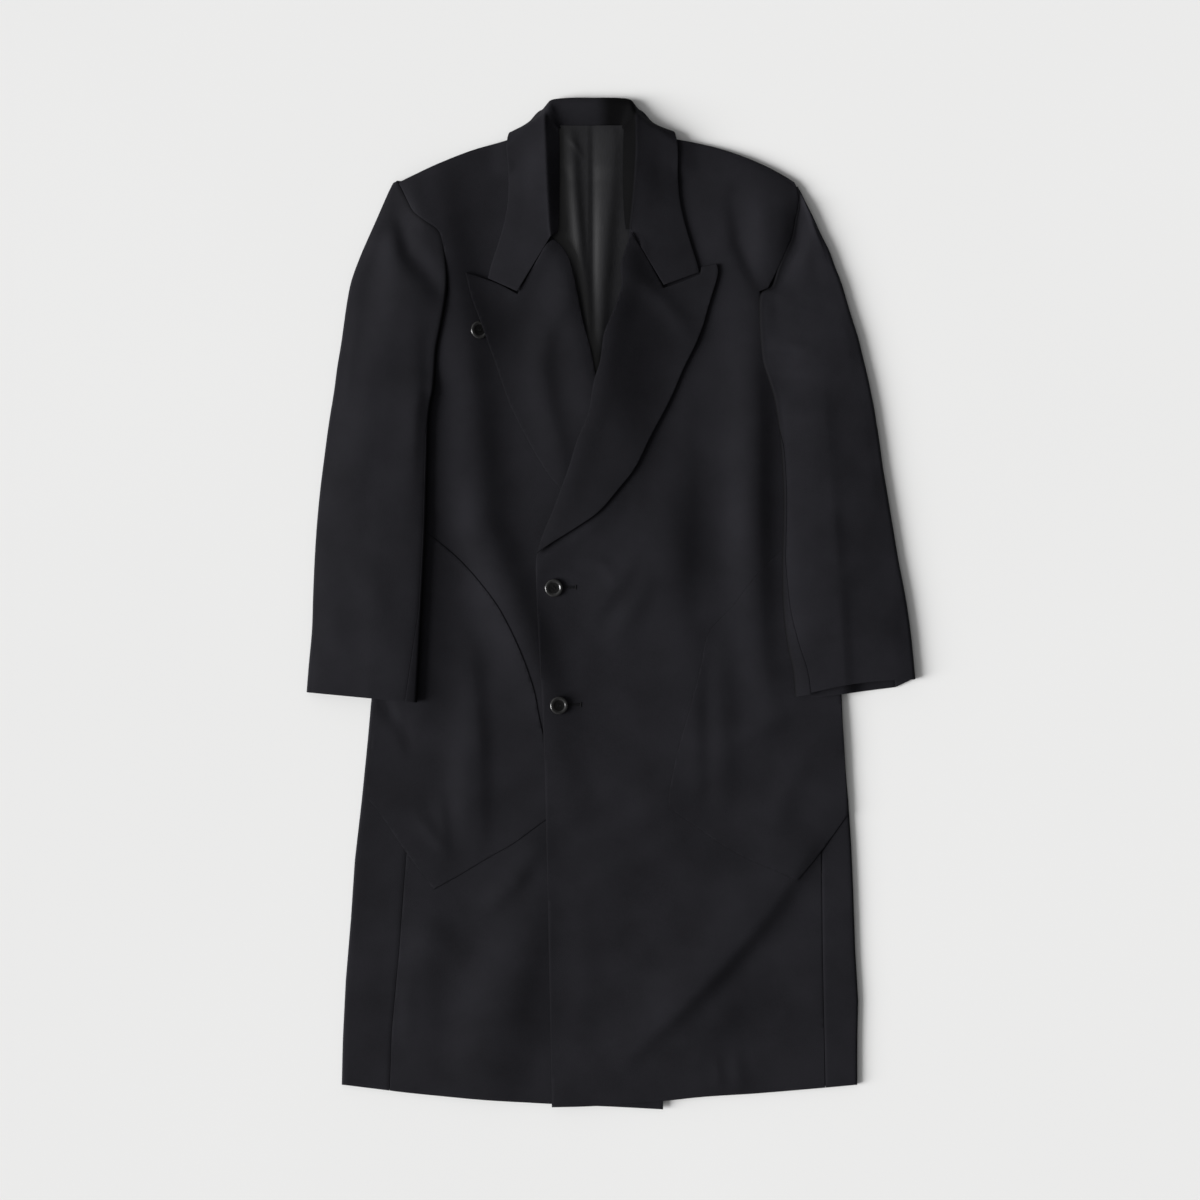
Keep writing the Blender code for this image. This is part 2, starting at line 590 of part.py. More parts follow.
def side_panel(name, seam, side, hem_seam, hem_side, toward):
    """The cloth folded round one side, from the side seam over the edge to the back."""
    rows = []
    for y_seam, y_side in side_rows(seam, hem_seam, hem_side):
        x_seam = at(seam, y_seam) + toward * SEAM
        x_side = at(side, y_side)
        centre = x_side - toward * (SIDE_FOLD + BODY_WALL / 2)
        row = []
        for part in range(4):
            u = part / 3.0
            x, y = x_seam + (centre - x_seam) * u, y_seam + (y_side - y_seam) * u
            fold = BODY_WALL / 2 + 2 * SIDE_FOLD
            z = (base(x, y) + BODY_WALL / 2) * (1.0 - smooth(u)) + fold * smooth(u)
            row.append((x, y, z))
        for turn in (60.0, 0.0, -60.0):
            angle = math.radians(turn)
            x = centre + toward * SIDE_FOLD * math.cos(angle)
            row.append((x, y_side, BODY_WALL / 2 + SIDE_FOLD * (1.0 + math.sin(angle))))
        for part in (0.0, 0.5, 1.0):
            x = centre - toward * part * (SIDE_UNDER - SIDE_FOLD - BODY_WALL / 2)
            row.append((x, y_side, BODY_WALL / 2))
        rows.append(row if toward > 0 else list(reversed(row)))
    return wall_of(name, rows, BODY_WALL, lambda i, j: True, wool(name))


def back_half(name, seam, side, hem_seam, armhole, shoulder, neck, toward):
    """One half of the back, between the centre seam and the folded side."""
    outline = [(x + toward * SEAM / 2, y) for y, x in BACK_SEAM]
    for _, y in side_rows(seam, hem_seam, HEM_AT_SIDE):
        outline.append((at(side, y) - toward * (SIDE_UNDER + SEAM), y))
    outline += list(armhole) + list(shoulder) + list(neck)
    return panel(name, tuple(outline), back_floor, BODY_WALL, wool(name), 70.0, 70.0, 464.0)


def sleeve_bed(x, y, side, pocket, toward):
    """What a sleeve lies on: the table, and inward of the side fold the coat's front."""
    inward = toward * (at(side, y) - x)
    front = base(x, y) + BODY_WALL + SLEEVE_AIR
    front += cover(pocket, x, y) * (POCKET_WALL + AIR)
    return front * smooth((inward + CLIMB_START) / CLIMB_WIDTH)


def clear_of_body(x, y, side, armhole, toward):
    """Whether a point beside the back is at least 2 mm outside it."""
    edge = at([(b, a) for a, b in armhole], y) if y > ARMPIT + 4.0 else at(side, y)
    return toward * (x - edge) > 2.0


def sleeve(side_name, table, side, pocket, over_lines, armhole, toward):
    """The top sleeve and the under sleeve, folded flat at their outer and inner edges."""
    half = SLEEVE_WALL / 2
    edge = SLEEVE_FOLD + half
    top_rows, under_rows = [], []
    for line, (xi, yi, xo, yo, seam) in enumerate(table):
        length = math.hypot(xo - xi, yo - yi)
        ux, uy = (xo - xi) / length, (yo - yi) / length
        tube = line < TUBE_LINES
        fold = min(SLEEVE_FOLD, length * 0.22)
        outer_edge = fold + half

        def bed(q):
            x, y = xi + ux * q, yi + uy * q
            return (sleeve_bed(x, y, side, pocket, toward) if tube else 0.0) + half

        if tube:
            inner_z = bed(edge) + 2 * SLEEVE_FOLD
            start, first = max(seam, edge), edge
        elif line < over_lines:
            inner_z = base(xi, yi) + BODY_WALL + SLEEVE_AIR + half
            start, first = 0.0, 0.0
        else:
            inner_z = base(xi, yi) + half
            start, first = 0.8, 0.8
        outer_z = half + 2 * fold
        end = length - outer_edge

        def top(q):
            s = min(max((q - first) / (end - first), 0.0), 1.0)
            bulge = TUBE_BULGE if tube else CAP_BULGE
            z = inner_z + (outer_z - inner_z) * smooth(s) + bulge * math.sin(math.pi * s)
            return max(z, bed(q) + 2 * SLEEVE_FOLD) if tube else z

        def place(q, z, sag=0.0):
            return (xi + ux * q, yi + uy * q + sag, z)

        cuff = line == 0
        row = []
        for n in range(9):
            q = start + (end - start) * n / 8.0
            sag = 5.0 * math.sin(math.pi * q / length) if cuff and toward > 0 else 0.0
            row.append(place(q, top(q), sag))
        for turn in (50.0, 0.0, -50.0):
            angle = math.radians(turn)
            z = half + fold * (1.0 + math.sin(angle))
            row.append(place(end + fold * math.cos(angle), z))
        under = min(SLEEVE_UNDER, 0.4 * length)
        for n in range(3):
            q = end - (under - outer_edge) * n / 2.0
            row.append(place(q, half))
        top_rows.append(row if toward > 0 else list(reversed(row)))

        # The under sleeve: four points on the table, then up over the coat's side,
        # round the inner fold and onto the top as far as the front seam.
        if line + 1 >= len(table):
            continue
        begin = length - under - SEAM
        if tube:
            inner = (at(side, yi + uy * length * 0.5) + toward * 30.0 - xi) / ux
        else:
            inner = begin
            while clear_of_body(xi + ux * inner, yi + uy * inner, side, armhole, toward):
                inner -= 0.5
        inner = min(inner, begin - 1.5)
        row = []
        for n in range(4):
            q = begin + (inner - begin) * n / 3.0
            sag = -3.5 * math.sin(math.pi * q / length) if cuff and toward > 0 else 0.0
            row.append(place(q, half, sag))
        if tube:
            climb = [inner - 9.0, inner - 18.0, inner - 27.0]
            climb += [inner + (edge - inner) * 0.8, edge]
            row += [place(q, bed(q)) for q in climb]
            centre_z = bed(edge) + SLEEVE_FOLD
            for turn in (-50.0, 0.0, 50.0):
                angle = math.radians(turn)
                q = edge - SLEEVE_FOLD * math.cos(angle)
                row.append(place(q, centre_z + SLEEVE_FOLD * math.sin(angle)))
            flat_z = centre_z + SLEEVE_FOLD
            if seam > edge + 2.0:
                row += [place(edge, flat_z), place(seam - SEAM, flat_z)]
            else:
                row += [place(edge - 1.4, flat_z - 0.07 * SLEEVE_FOLD)]
                row += [place(edge - SEAM, flat_z)]
        else:
            row += [row[-1]] * 10
        under_rows.append(row if toward < 0 else list(reversed(row)))

    wall_of("top_sleeve_" + side_name, top_rows, SLEEVE_WALL, lambda i, j: True,
            wool("top_sleeve_" + side_name))
    wide = len(under_rows[0])
    flat = (lambda j: j < 3) if toward < 0 else (lambda j: j >= wide - 4)
    wall_of("under_sleeve_" + side_name, under_rows, SLEEVE_WALL,
            lambda i, j: flat(j) or i + 1 < TUBE_LINES, wool("under_sleeve_" + side_name))


def collar():
    """One folded wall: the stand from the neck seam, the roll, and the fall outside it."""
    rows = []
    half = COLLAR_WALL / 2
    for nx, ny, rx, ry, rz, tx, ty, tz, ex, ey, ez in COLLAR_ROWS:
        floor = right_front_floor if rx < -20.0 else left_front_floor
        under_back = tz is not None and ez is not None and ez < 2.0
        toward_front = Vector((nx - rx, ny - ry)).normalized()
        at_back = smooth((16.0 - rz) / 8.0)
        neck_z = floor(nx + (-3.0 if rx < -20.0 else 3.0), ny) + 1.0
        if at_back > 0.0:
            neck_z += (back_floor(nx, 546.0) + 1.6 - neck_z) * at_back
        edge_z = ez if ez is not None else floor(ex, ey) + BODY_WALL + 0.7 + half
        turn_low = floor(tx, ty) + BODY_WALL + 0.9 + half
        turn_z = tz if tz is not None else max(turn_low, 0.45 * rz + 0.55 * edge_z + 1.0)
        fall = Vector((tx - rx, ty - ry)).normalized()
        before = Vector((rx, ry)) + toward_front * (3.0 + 2.4 * at_back)
        after = Vector((rx, ry)) + fall * (4.0 + 1.4 * at_back)
        before_z = rz - 1.6 * (1.0 - at_back) + 4.1 * at_back
        after_z = rz - 0.8 * (1.0 - at_back) - 4.1 * at_back
        if under_back:
            after_z = max(after_z, half)
        middle = Vector((nx, ny)) * 0.5 + before * 0.5
        middle_z = 0.5 * neck_z + 0.5 * before_z
        halfway = after * 0.5 + Vector((tx, ty)) * 0.5
        halfway_z = 0.5 * after_z + 0.5 * turn_z
        outer = Vector((tx, ty)) * 0.5 + Vector((ex, ey)) * 0.5
        outer_z = 0.5 * turn_z + 0.5 * edge_z
        rows.append([
            (nx, ny, neck_z), (*middle, middle_z), (*before, before_z), (rx, ry, rz),
            (*after, after_z), (*halfway, halfway_z), (tx, ty, turn_z),
            (*outer, outer_z), (ex, ey, edge_z),
        ])
    rows = [list(reversed(row)) for row in rows]
    return wall_of("collar", rows, COLLAR_WALL, lambda i, j: True, wool("collar"))


def button(name, x, y, floor):
    """A turned button on a front: a raised rounded rim round a shallow dish."""
    bottom = max(
        floor(x + 10.0 * math.cos(n), y + 10.0 * math.sin(n)) for n in range(7)
    ) + BODY_WALL + SEAM
    profile = (
        (0.0, 0.0), (8.6, 0.0), (10.1, 0.7), (BUTTON_RADIUS, 1.7), (10.1, 2.8),
        (8.9, BUTTON_HEIGHT), (7.6, 3.2), (6.4, 2.3), (0.0, 2.1),
    )
    steps = 20
    bm = bmesh.new()
    points = [bm.verts.new((r * MM, 0.0, z * MM)) for r, z in profile]
    edges = [bm.edges.new(pair) for pair in zip(points, points[1:])]
    bmesh.ops.spin(
        bm, geom=points + edges, cent=(0, 0, 0), axis=(0, 0, 1),
        angle=2 * math.pi, steps=steps, use_merge=True,
    )
    bmesh.ops.remove_doubles(bm, verts=bm.verts, dist=1e-6)
    bmesh.ops.recalc_face_normals(bm, faces=bm.faces)
    mesh = bpy.data.meshes.new(name)
    bm.to_mesh(mesh)
    bm.free()
    mesh.shade_smooth()
    mesh.set_sharp_from_angle(angle=math.radians(40.0))
    mesh.materials.append(fabric(name, (0.010, 0.010, 0.011), 0.35))
    obj = bpy.data.objects.new(name, mesh)
    obj.location = (x * MM, y * MM, bottom * MM)
    bpy.context.scene.collection.objects.link(obj)
    return obj


for old in list(bpy.data.objects):
    bpy.data.objects.remove(old, do_unlink=True)

back_half(
    "back_right", SEAM_RIGHT, SIDE_RIGHT, -559.7, BACK_ARMHOLE_RIGHT,
    [(-224.0, 490.0), (-194.0, 504.0), (-158.5, 518.0), (-126.0, 526.0), (-113.0, 523.5),
     (-95.0, 526.0), (-78.0, 532.0), (-66.0, 535.5)],
    [(-59.0, 541.0), (-54.0, 545.2)], -1.0,
)
back_half(
    "back_left", SEAM_LEFT, SIDE_LEFT, -556.4, BACK_ARMHOLE_LEFT,
    [(196.7, 489.5), (167.9, 504.0), (130.0, 518.0), (97.8, 525.0), (78.0, 523.0),
     (60.0, 525.0), (40.0, 530.0), (21.0, 535.0)],
    [(14.0, 541.0), (9.0, 545.2)], 1.0,
)
side_panel("side_right", SEAM_RIGHT, SIDE_RIGHT, -559.7, HEM_AT_SIDE, -1.0)
side_panel("side_left", SEAM_LEFT, SIDE_LEFT, -556.4, HEM_AT_SIDE, 1.0)
panel("lining", LINING, lining_floor, LINING_WALL,
      fabric("lining", (0.022, 0.022, 0.024), 0.45))
panel("front_right", RIGHT_FRONT, right_front_floor, BODY_WALL, wool("front_right"))
panel("front_left", LEFT_FRONT, left_front_floor, BODY_WALL, wool("front_left"))
panel("lapel_right", UNDER_LAPEL, right_lapel_floor, LAPEL_WALL, wool("lapel_right"))
panel("lapel_left", TOP_LAPEL, left_lapel_floor, LAPEL_WALL, wool("lapel_left"))
panel("pocket_right", POCKET_RIGHT, right_pocket_floor, POCKET_WALL, wool("pocket_right"))
panel("pocket_left", POCKET_LEFT, left_pocket_floor, POCKET_WALL, wool("pocket_left"))
sleeve("right", SLEEVE_RIGHT, SIDE_RIGHT, POCKET_RIGHT, OVER_LINES_RIGHT,
       BACK_ARMHOLE_RIGHT, -1.0)
sleeve("left", SLEEVE_LEFT, SIDE_LEFT, POCKET_LEFT, OVER_LINES_LEFT,
       BACK_ARMHOLE_LEFT, 1.0)
collar()
for number, (x, y) in enumerate(BUTTONS_LEFT_FRONT, 1):
    button("button_%d" % number, x, y, left_front_floor)
x, y = BUTTON_RIGHT_FRONT
button("button_3", x, y, right_front_floor)
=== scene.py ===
"""A long black tailored coat with peak lapels, lying flat on its back and buttoned.

Left and right are the wearer's, so the right front is at -X. The collar points to +Y.
Tables and heights are in millimetres, and each finished mesh is in metres.
"""

import math

import bmesh
import bpy
import numpy as np
from mathutils import Matrix, Vector


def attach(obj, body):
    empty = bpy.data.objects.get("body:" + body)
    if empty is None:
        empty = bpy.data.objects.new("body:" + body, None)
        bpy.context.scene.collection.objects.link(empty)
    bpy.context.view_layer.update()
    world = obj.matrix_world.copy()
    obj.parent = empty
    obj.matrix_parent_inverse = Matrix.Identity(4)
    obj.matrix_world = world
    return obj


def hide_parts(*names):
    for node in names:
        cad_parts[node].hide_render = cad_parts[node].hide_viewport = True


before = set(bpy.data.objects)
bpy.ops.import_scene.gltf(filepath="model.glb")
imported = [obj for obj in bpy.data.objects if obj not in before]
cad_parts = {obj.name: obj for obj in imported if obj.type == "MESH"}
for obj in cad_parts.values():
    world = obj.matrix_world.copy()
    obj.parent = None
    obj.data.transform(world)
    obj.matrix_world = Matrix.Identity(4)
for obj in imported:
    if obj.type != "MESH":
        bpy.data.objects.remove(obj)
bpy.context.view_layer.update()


# The back: two long halves of black wool twill, joined by a seam down the middle. They
# lie on the floor under everything else, wrinkled a little where the coat was laid down.

MM = 0.001
BODY_WALL = 2.0
SEAM = 0.3
BACK_WEAVE = 8.0
SIDE_UNDER = 35.0
HEM_AT_SIDE = -553.2
ARMPIT = 236.0
SIDE_TOP = 226.0
HEM_TUCK = 0.6

# A cut edge: the rows of its rolled rim, how much the underside rounds off, and how far
# apart two mesh lines have to be.
RIM_ROWS = (0.3, 0.7)
UNDER_ROUNDING = 0.6
LINES_APART = 0.12

# The collar's back lies under the neck of the back: the room that it takes, from where to
# where in x, how softly the back climbs over it, and where along y.
COLLAR_ROOM = 3.0
COLLAR_SPAN = (-142.0, 104.0)
COLLAR_FADE = 28.0
COLLAR_START = 484.0
COLLAR_CLIMB = 20.0

# Outer edge of the body, then the side seam on the front: y, x.
SIDE_RIGHT = (
    (-553.2, -309.4), (-502.6, -308.2), (-433.6, -304.8), (-364.6, -299.0),
    (-295.6, -294.4), (-226.6, -286.4), (-157.6, -279.5), (-105.8, -274.9),
    (-40.0, -270.0), (40.0, -266.0), (120.0, -261.0), (190.0, -256.0), (236.0, -253.0),
)
SIDE_LEFT = (
    (-553.2, 282.9), (-502.6, 283.0), (-456.6, 284.0), (-399.0, 280.6),
    (-330.0, 278.3), (-278.3, 276.0), (-226.6, 272.6), (-174.8, 268.0),
    (-123.0, 265.7), (-40.0, 262.0), (40.0, 257.0), (120.0, 250.0),
    (190.0, 243.0), (236.0, 239.0),
)
SEAM_RIGHT = (
    (-559.7, -254.1), (-493.4, -251.9), (-442.8, -247.3), (-392.2, -242.7),
    (-282.9, -234.6), (-200.0, -232.0), (-100.0, -232.0), (0.0, -231.0),
    (100.0, -229.0), (190.0, -227.0), (236.0, -226.0),
)
SEAM_LEFT = (
    (-556.4, 246.1), (-455.4, 243.8), (-395.6, 242.7), (-335.8, 242.2),
    (-291.5, 241.5), (-200.0, 237.0), (-100.0, 231.0), (0.0, 225.0),
    (100.0, 219.0), (190.0, 213.0), (236.0, 210.0),
)
BACK_SEAM = (
    (545.8, -21.9), (528.0, -21.4), (514.0, -21.0), (500.0, -20.6), (486.0, -20.2),
    (464.0, -19.6), (400.0, -18.0), (0.0, -11.0), (-563.0, -4.0),
)
BACK_TOP_RIGHT = (
    (-214.0, 246.0), (-214.0, 262.0), (-211.0, 300.0), (-208.0, 360.0),
    (-212.0, 410.0), (-229.0, 448.0), (-243.5, 482.0), (-224.0, 490.0),
    (-194.0, 504.0), (-158.5, 518.0), (-126.0, 526.0), (-113.0, 523.5),
    (-95.0, 526.0), (-78.0, 532.0), (-66.0, 535.5), (-59.0, 541.0), (-54.0, 545.2),
)
BACK_TOP_LEFT = (
    (201.0, 246.0), (199.0, 262.0), (194.0, 300.0), (192.0, 360.0), (200.0, 402.0),
    (212.0, 440.0), (209.5, 482.0), (196.7, 489.5), (167.9, 504.0), (130.0, 518.0),
    (97.8, 525.0), (78.0, 523.0), (60.0, 525.0), (40.0, 530.0), (21.0, 535.0),
    (14.0, 541.0), (9.0, 545.2),
)

# Wrinkles of the back, each a line with its half width and its height.
BACK_WRINKLES = (
    (((-205.0, -60.0), (-150.0, -95.0), (-95.0, -110.0)), 11.0, 0.9),
    (((-60.0, 180.0), (-120.0, 140.0), (-190.0, 128.0)), 13.0, 0.9),
    (((-215.0, -330.0), (-150.0, -372.0), (-60.0, -388.0)), 12.0, 0.8),
    (((-120.0, 330.0), (-105.0, 250.0)), 12.0, 0.8),
    (((30.0, 120.0), (90.0, 92.0), (170.0, 100.0)), 12.0, 0.9),
    (((40.0, -250.0), (110.0, -285.0), (190.0, -290.0)), 13.0, 0.9),
    (((70.0, -20.0), (150.0, -52.0)), 10.0, 0.8),
    (((60.0, 350.0), (85.0, 250.0)), 12.0, 0.8),
)


def soft_step(t):
    """Runs softly from 0 to 1 while t does."""
    t = np.clip(t, 0.0, 1.0)
    return t * t * (3.0 - 2.0 * t)


def across_at(table, y):
    """The second column of a table at a value of its first."""
    rows = np.array(sorted(table))
    return np.interp(y, rows[:, 0], rows[:, 1])


def off_line(line, x, y):
    """The distance to a line in plan, how far along it the nearest point is, and which
    side of it the place is: -1 straight to -X of it, 1 straight to +X."""
    gap = np.full(np.shape(x), 1e9)
    way = np.zeros(np.shape(x))
    nearest = np.zeros(np.shape(x))
    last = len(line) - 1
    for step in range(last):
        (x0, y0), (x1, y1) = line[step], line[step + 1]
        dx, dy = x1 - x0, y1 - y0
        t = np.clip(((x - x0) * dx + (y - y0) * dy) / (dx * dx + dy * dy), 0.0, 1.0)
        here = np.hypot(x - x0 - t * dx, y - y0 - t * dy)
        way = np.where(here < gap, (step + t) / last, way)
        nearest = np.where(here < gap, x0 + t * dx, nearest)
        gap = np.minimum(gap, here)
    return gap, way, (x - nearest) / np.maximum(gap, 1e-6)


def creases(table, x, y, ends=0.35):
    """Height that a table of folds adds: soft ridges, or troughs where it is negative.

    The width is one number, or a pair for the flank at -X and the one at +X. ends is the
    part of its height that a fold has left where it stops.
    """
    total = np.zeros(np.shape(x))
    for line, width, height in table:
        gap, way, side = off_line(line, x, y)
        if isinstance(width, tuple):
            width = width[0] + (width[1] - width[0]) * soft_step(0.5 + 0.8 * side)
        rise = ends + (1.0 - ends) * np.sin(math.pi * way)
        total = total + height * rise * np.exp(-((gap / width) ** 2))
    return total


def chalked(outline, step=6.0, corner=30.0):
    """A curved line through the points of an outline, kept sharp at its real corners."""
    points = [np.array(point, float) for point in outline]
    count = len(points)
    tangents = []
    for n in range(count):
        before = points[n] - points[n - 1]
        after = points[(n + 1) % count] - points[n]
        turn = math.atan2(before[0] * after[1] - before[1] * after[0], before @ after)
        sharp = abs(math.degrees(turn)) > corner
        near, far = np.linalg.norm(before), np.linalg.norm(after)
        middle = (before / near + after / far) / 2.0
        tangents.append((before / near, after / far) if sharp else (middle, middle))
    line = []
    for n in range(count):
        start, end = points[n], points[(n + 1) % count]
        long = np.linalg.norm(end - start)
        leave, arrive = tangents[n][1] * long, tangents[(n + 1) % count][0] * long
        parts = max(1, round(long / step))
        for part in range(parts):
            t = part / parts
            point = (2 * t**3 - 3 * t**2 + 1) * start + (t**3 - 2 * t**2 + t) * leave
            point += (3 * t**2 - 2 * t**3) * end + (t**3 - t**2) * arrive
            line.append((float(point[0]), float(point[1])))
    return tuple(line)


def only(kind, parts):
    """The vertices, or the edges, among the parts that an operator made."""
    return [part for part in parts if isinstance(part, kind)]


def as_mesh(bm, name):
    """Finishes an edited mesh, shaded softly."""
    mesh = bpy.data.meshes.new(name)
    bm.to_mesh(mesh)
    bm.free()
    mesh.shade_smooth()
    return mesh


def lay_out(name, made):
    """Puts a finished mesh, light or camera into the scene under its own name."""
    obj = bpy.data.objects.new(name, made)
    bpy.context.scene.collection.objects.link(obj)
    return obj


def cut_cloth(name, outline, weave, floor, wall, turned=1.0, crisp=1.0):
    """Cuts cloth to its outline, with rounded edges, and lays it on a floor height.

    weave is the spacing of the mesh, and turned the radius of the folded edge. Painted shade
    darkens the cloth along the edge, and farther in from it the lower crisp is.
    """
    bm = bmesh.new()
    cloth = bm.faces.new([bm.verts.new((x, y, 0.0)) for x, y in outline])
    bm.normal_update()
    if cloth.normal.z < 0.0:
        cloth.normal_flip()
    for part in RIM_ROWS:
        bmesh.ops.inset_region(bm, faces=[cloth], thickness=part * turned,
                               use_boundary=True, use_even_offset=True)
    for axis, normal in enumerate(((1.0, 0.0, 0.0), (0.0, 1.0, 0.0))):
        places = [point[axis] for point in outline]
        first, last = math.ceil(min(places) / weave), math.floor(max(places) / weave)
        for n in range(first, last + 1):
            everything = bm.verts[:] + bm.edges[:] + bm.faces[:]
            place = tuple(n * weave * part for part in normal)
            bmesh.ops.bisect_plane(bm, geom=everything, dist=LINES_APART, plane_co=place,
                                   plane_no=normal)
    under = bmesh.ops.extrude_face_region(bm, geom=bm.faces[:], use_keep_orig=True)
    for vert in only(bmesh.types.BMVert, under["geom"]):
        vert.co.z = -1.0
    bmesh.ops.recalc_face_normals(bm, faces=bm.faces[:])
    mesh = as_mesh(bm, name)
    points = np.empty(len(mesh.vertices) * 3)
    mesh.vertices.foreach_get("co", points)
    points = points.reshape(-1, 3)
    x, y, is_upper = points[:, 0], points[:, 1], points[:, 2] > -0.5
    rim = np.clip(off_line(outline + outline[:1], x, y)[0] / turned, 0.0, 1.0)
    round_off = turned * (1.0 - np.sqrt(1.0 - (1.0 - rim) ** 2))
    low = floor(x, y)
    upper = low + wall - round_off
    points[:, 2] = np.where(is_upper, upper, low + UNDER_ROUNDING * round_off)
    mesh.vertices.foreach_set("co", (points * MM).ravel())
    # Painted shade: the colour is darkened along the cut edge, standing in for shadow in the
    # seam's groove and keeping the lit rim dark.
    painted_shade = mesh.attributes.new("painted_shade", "FLOAT", "POINT")
    painted_shade.data.foreach_set("value", (1.0 - rim) ** crisp)
    mesh.update()
    return lay_out(name, mesh)


def back_floor(x, y):
    """Underside of the back: on the floor, and over the collar at the neck."""
    first, last = COLLAR_SPAN
    sideways = soft_step((x - first) / COLLAR_FADE) * soft_step((last - x) / COLLAR_FADE)
    return COLLAR_ROOM * sideways * soft_step((y - COLLAR_START) / COLLAR_CLIMB)


def back_lies(x, y):
    return back_floor(x, y) + creases(BACK_WRINKLES, x, y)


def side_line(seam, low, high, step=45.0):
    """Points of a side seam from low y to high y, its table's rows among them."""
    rows = [y for y, _ in seam if low < y < high]
    count = max(1, round((high - low) / step))
    rows += [low + (high - low) * n / count for n in range(count + 1)]
    kept = []
    for y in sorted(rows):
        if not kept or y - kept[-1] > 8.0:
            kept.append(y)
    kept[-1] = high
    return [(float(across_at(seam, y)), y) for y in kept]


def new_material(name):
    """A material, its nodes, its surface, and the place on the piece that it is read at."""
    material = bpy.data.materials.new(name)
    material.use_nodes = True
    tree = material.node_tree
    where = tree.nodes.new("ShaderNodeTexCoord").outputs["Object"]
    return material, tree, tree.nodes["Principled BSDF"], where


def noise(tree, where, scale, detail=2.0, distortion=0.0):
    """A soft uneven pattern, finer where scale is larger."""
    pattern = tree.nodes.new("ShaderNodeTexNoise")
    pattern.inputs["Scale"].default_value = scale
    pattern.inputs["Detail"].default_value = detail
    pattern.inputs["Distortion"].default_value = distortion
    tree.links.new(where, pattern.inputs["Vector"])
    return pattern.outputs["Fac"]


def ribs(tree, where, scale, distortion, detail_scale=1.0):
    """Slanting ribs, as in twill or round a twisted thread."""
    pattern = tree.nodes.new("ShaderNodeTexWave")
    pattern.wave_type = "BANDS"
    pattern.bands_direction = "DIAGONAL"
    pattern.inputs["Scale"].default_value = scale
    pattern.inputs["Distortion"].default_value = distortion
    pattern.inputs["Detail Scale"].default_value = detail_scale
    tree.links.new(where, pattern.inputs["Vector"])
    return pattern.outputs["Fac"]


def with_part_of(tree, pattern, part, other):
    """One pattern with a part of another one added."""
    both = tree.nodes.new("ShaderNodeMath")
    both.operation = "MULTIPLY_ADD"
    both.inputs[1].default_value = part
    tree.links.new(other, both.inputs[0])
    tree.links.new(pattern, both.inputs[2])
    return both.outputs["Value"]


def shades(tree, pattern, dark, light, low=0.0, high=1.0):
    """Colours from dark to light while a pattern goes from low to high."""
    ramp = tree.nodes.new("ShaderNodeValToRGB")
    for end, place, colour in zip(ramp.color_ramp.elements, (low, high), (dark, light)):
        end.position = place
        end.color = (*colour, 1.0)
    tree.links.new(pattern, ramp.inputs["Fac"])
    return ramp.outputs["Color"]


def between(tree, pattern, first, last):
    """A value from first to last while a pattern goes from 0 to 1."""
    span = tree.nodes.new("ShaderNodeMapRange")
    span.inputs["To Min"].default_value = first
    span.inputs["To Max"].default_value = last
    tree.links.new(pattern, span.inputs["Value"])
    return span.outputs["Result"]


def relief(tree, shader, pattern, strength, depth):
    """Makes a pattern stand a little out of the surface."""
    bump = tree.nodes.new("ShaderNodeBump")
    bump.inputs["Strength"].default_value = strength
    bump.inputs["Distance"].default_value = depth
    tree.links.new(pattern, bump.inputs["Height"])
    tree.links.new(bump.outputs["Normal"], shader.inputs["Normal"])


TWILL_DARK = (0.0093, 0.0091, 0.0111)
TWILL_LIGHT = (0.0169, 0.0165, 0.0200)


def twill(name, turn=0.0, tone=1.0):
    """Black wool twill: fine slanting ribs and a soft nap, darkened where shade is painted."""
    material, tree, shader, where = new_material(name)
    grain = tree.nodes.new("ShaderNodeMapping")
    grain.inputs["Rotation"].default_value = (0.0, 0.0, turn)
    tree.links.new(where, grain.inputs["Vector"])
    weave = ribs(tree, grain.outputs["Vector"], 620.0, 1.2, 2.0)
    nap = noise(tree, where, 620.0, 3.0)
    cloud = noise(tree, where, 16.0, 4.0)
    relief(tree, shader, with_part_of(tree, weave, 0.5, nap), 0.35, 0.0004)
    dark = [part * tone for part in TWILL_DARK]
    light = [part * tone for part in TWILL_LIGHT]
    colour = shades(tree, with_part_of(tree, cloud, 0.35, nap), dark, light, 0.35, 0.95)
    # Painted shade: where a piece's mesh marks it, the colour drops as far as a tenth.
    edge = tree.nodes.new("ShaderNodeAttribute")
    edge.attribute_name = "painted_shade"
    darker = tree.nodes.new("ShaderNodeVectorMath")
    darker.operation = "SCALE"
    tree.links.new(colour, darker.inputs[0])
    tree.links.new(between(tree, edge.outputs["Fac"], 1.0, 0.1), darker.inputs["Scale"])
    tree.links.new(darker.outputs["Vector"], shader.inputs["Base Color"])
    tree.links.new(between(tree, cloud, 0.66, 0.86), shader.inputs["Roughness"])
    shader.inputs["Specular IOR Level"].default_value = 0.05
    shader.inputs["Sheen Weight"].default_value = 0.01
    shader.inputs["Sheen Roughness"].default_value = 0.45
    return material


def back_half(name, seam, side, low, top, toward):
    outline = [(x + toward * SEAM / 2, y) for y, x in BACK_SEAM]
    outline.append((float(across_at(seam, low)), low + HEM_TUCK))
    for _, y in side_line(seam, low, ARMPIT):
        t = (y - low) / (ARMPIT - low)
        level = HEM_AT_SIDE + (SIDE_TOP - HEM_AT_SIDE) * t
        outline.append((float(across_at(side, level)) - toward * (SIDE_UNDER + SEAM), level))
    outline = chalked(tuple(outline) + top)
    piece = cut_cloth(name + "_cloth", outline, BACK_WEAVE, back_lies, BODY_WALL)
    piece.data.materials.append(twill(name + "_wool"))
    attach(piece, "root")
    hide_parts(name)


back_half("back_right", SEAM_RIGHT, SIDE_RIGHT, -559.7, BACK_TOP_RIGHT, -1.0)
back_half("back_left", SEAM_LEFT, SIDE_LEFT, -556.4, BACK_TOP_LEFT, 1.0)


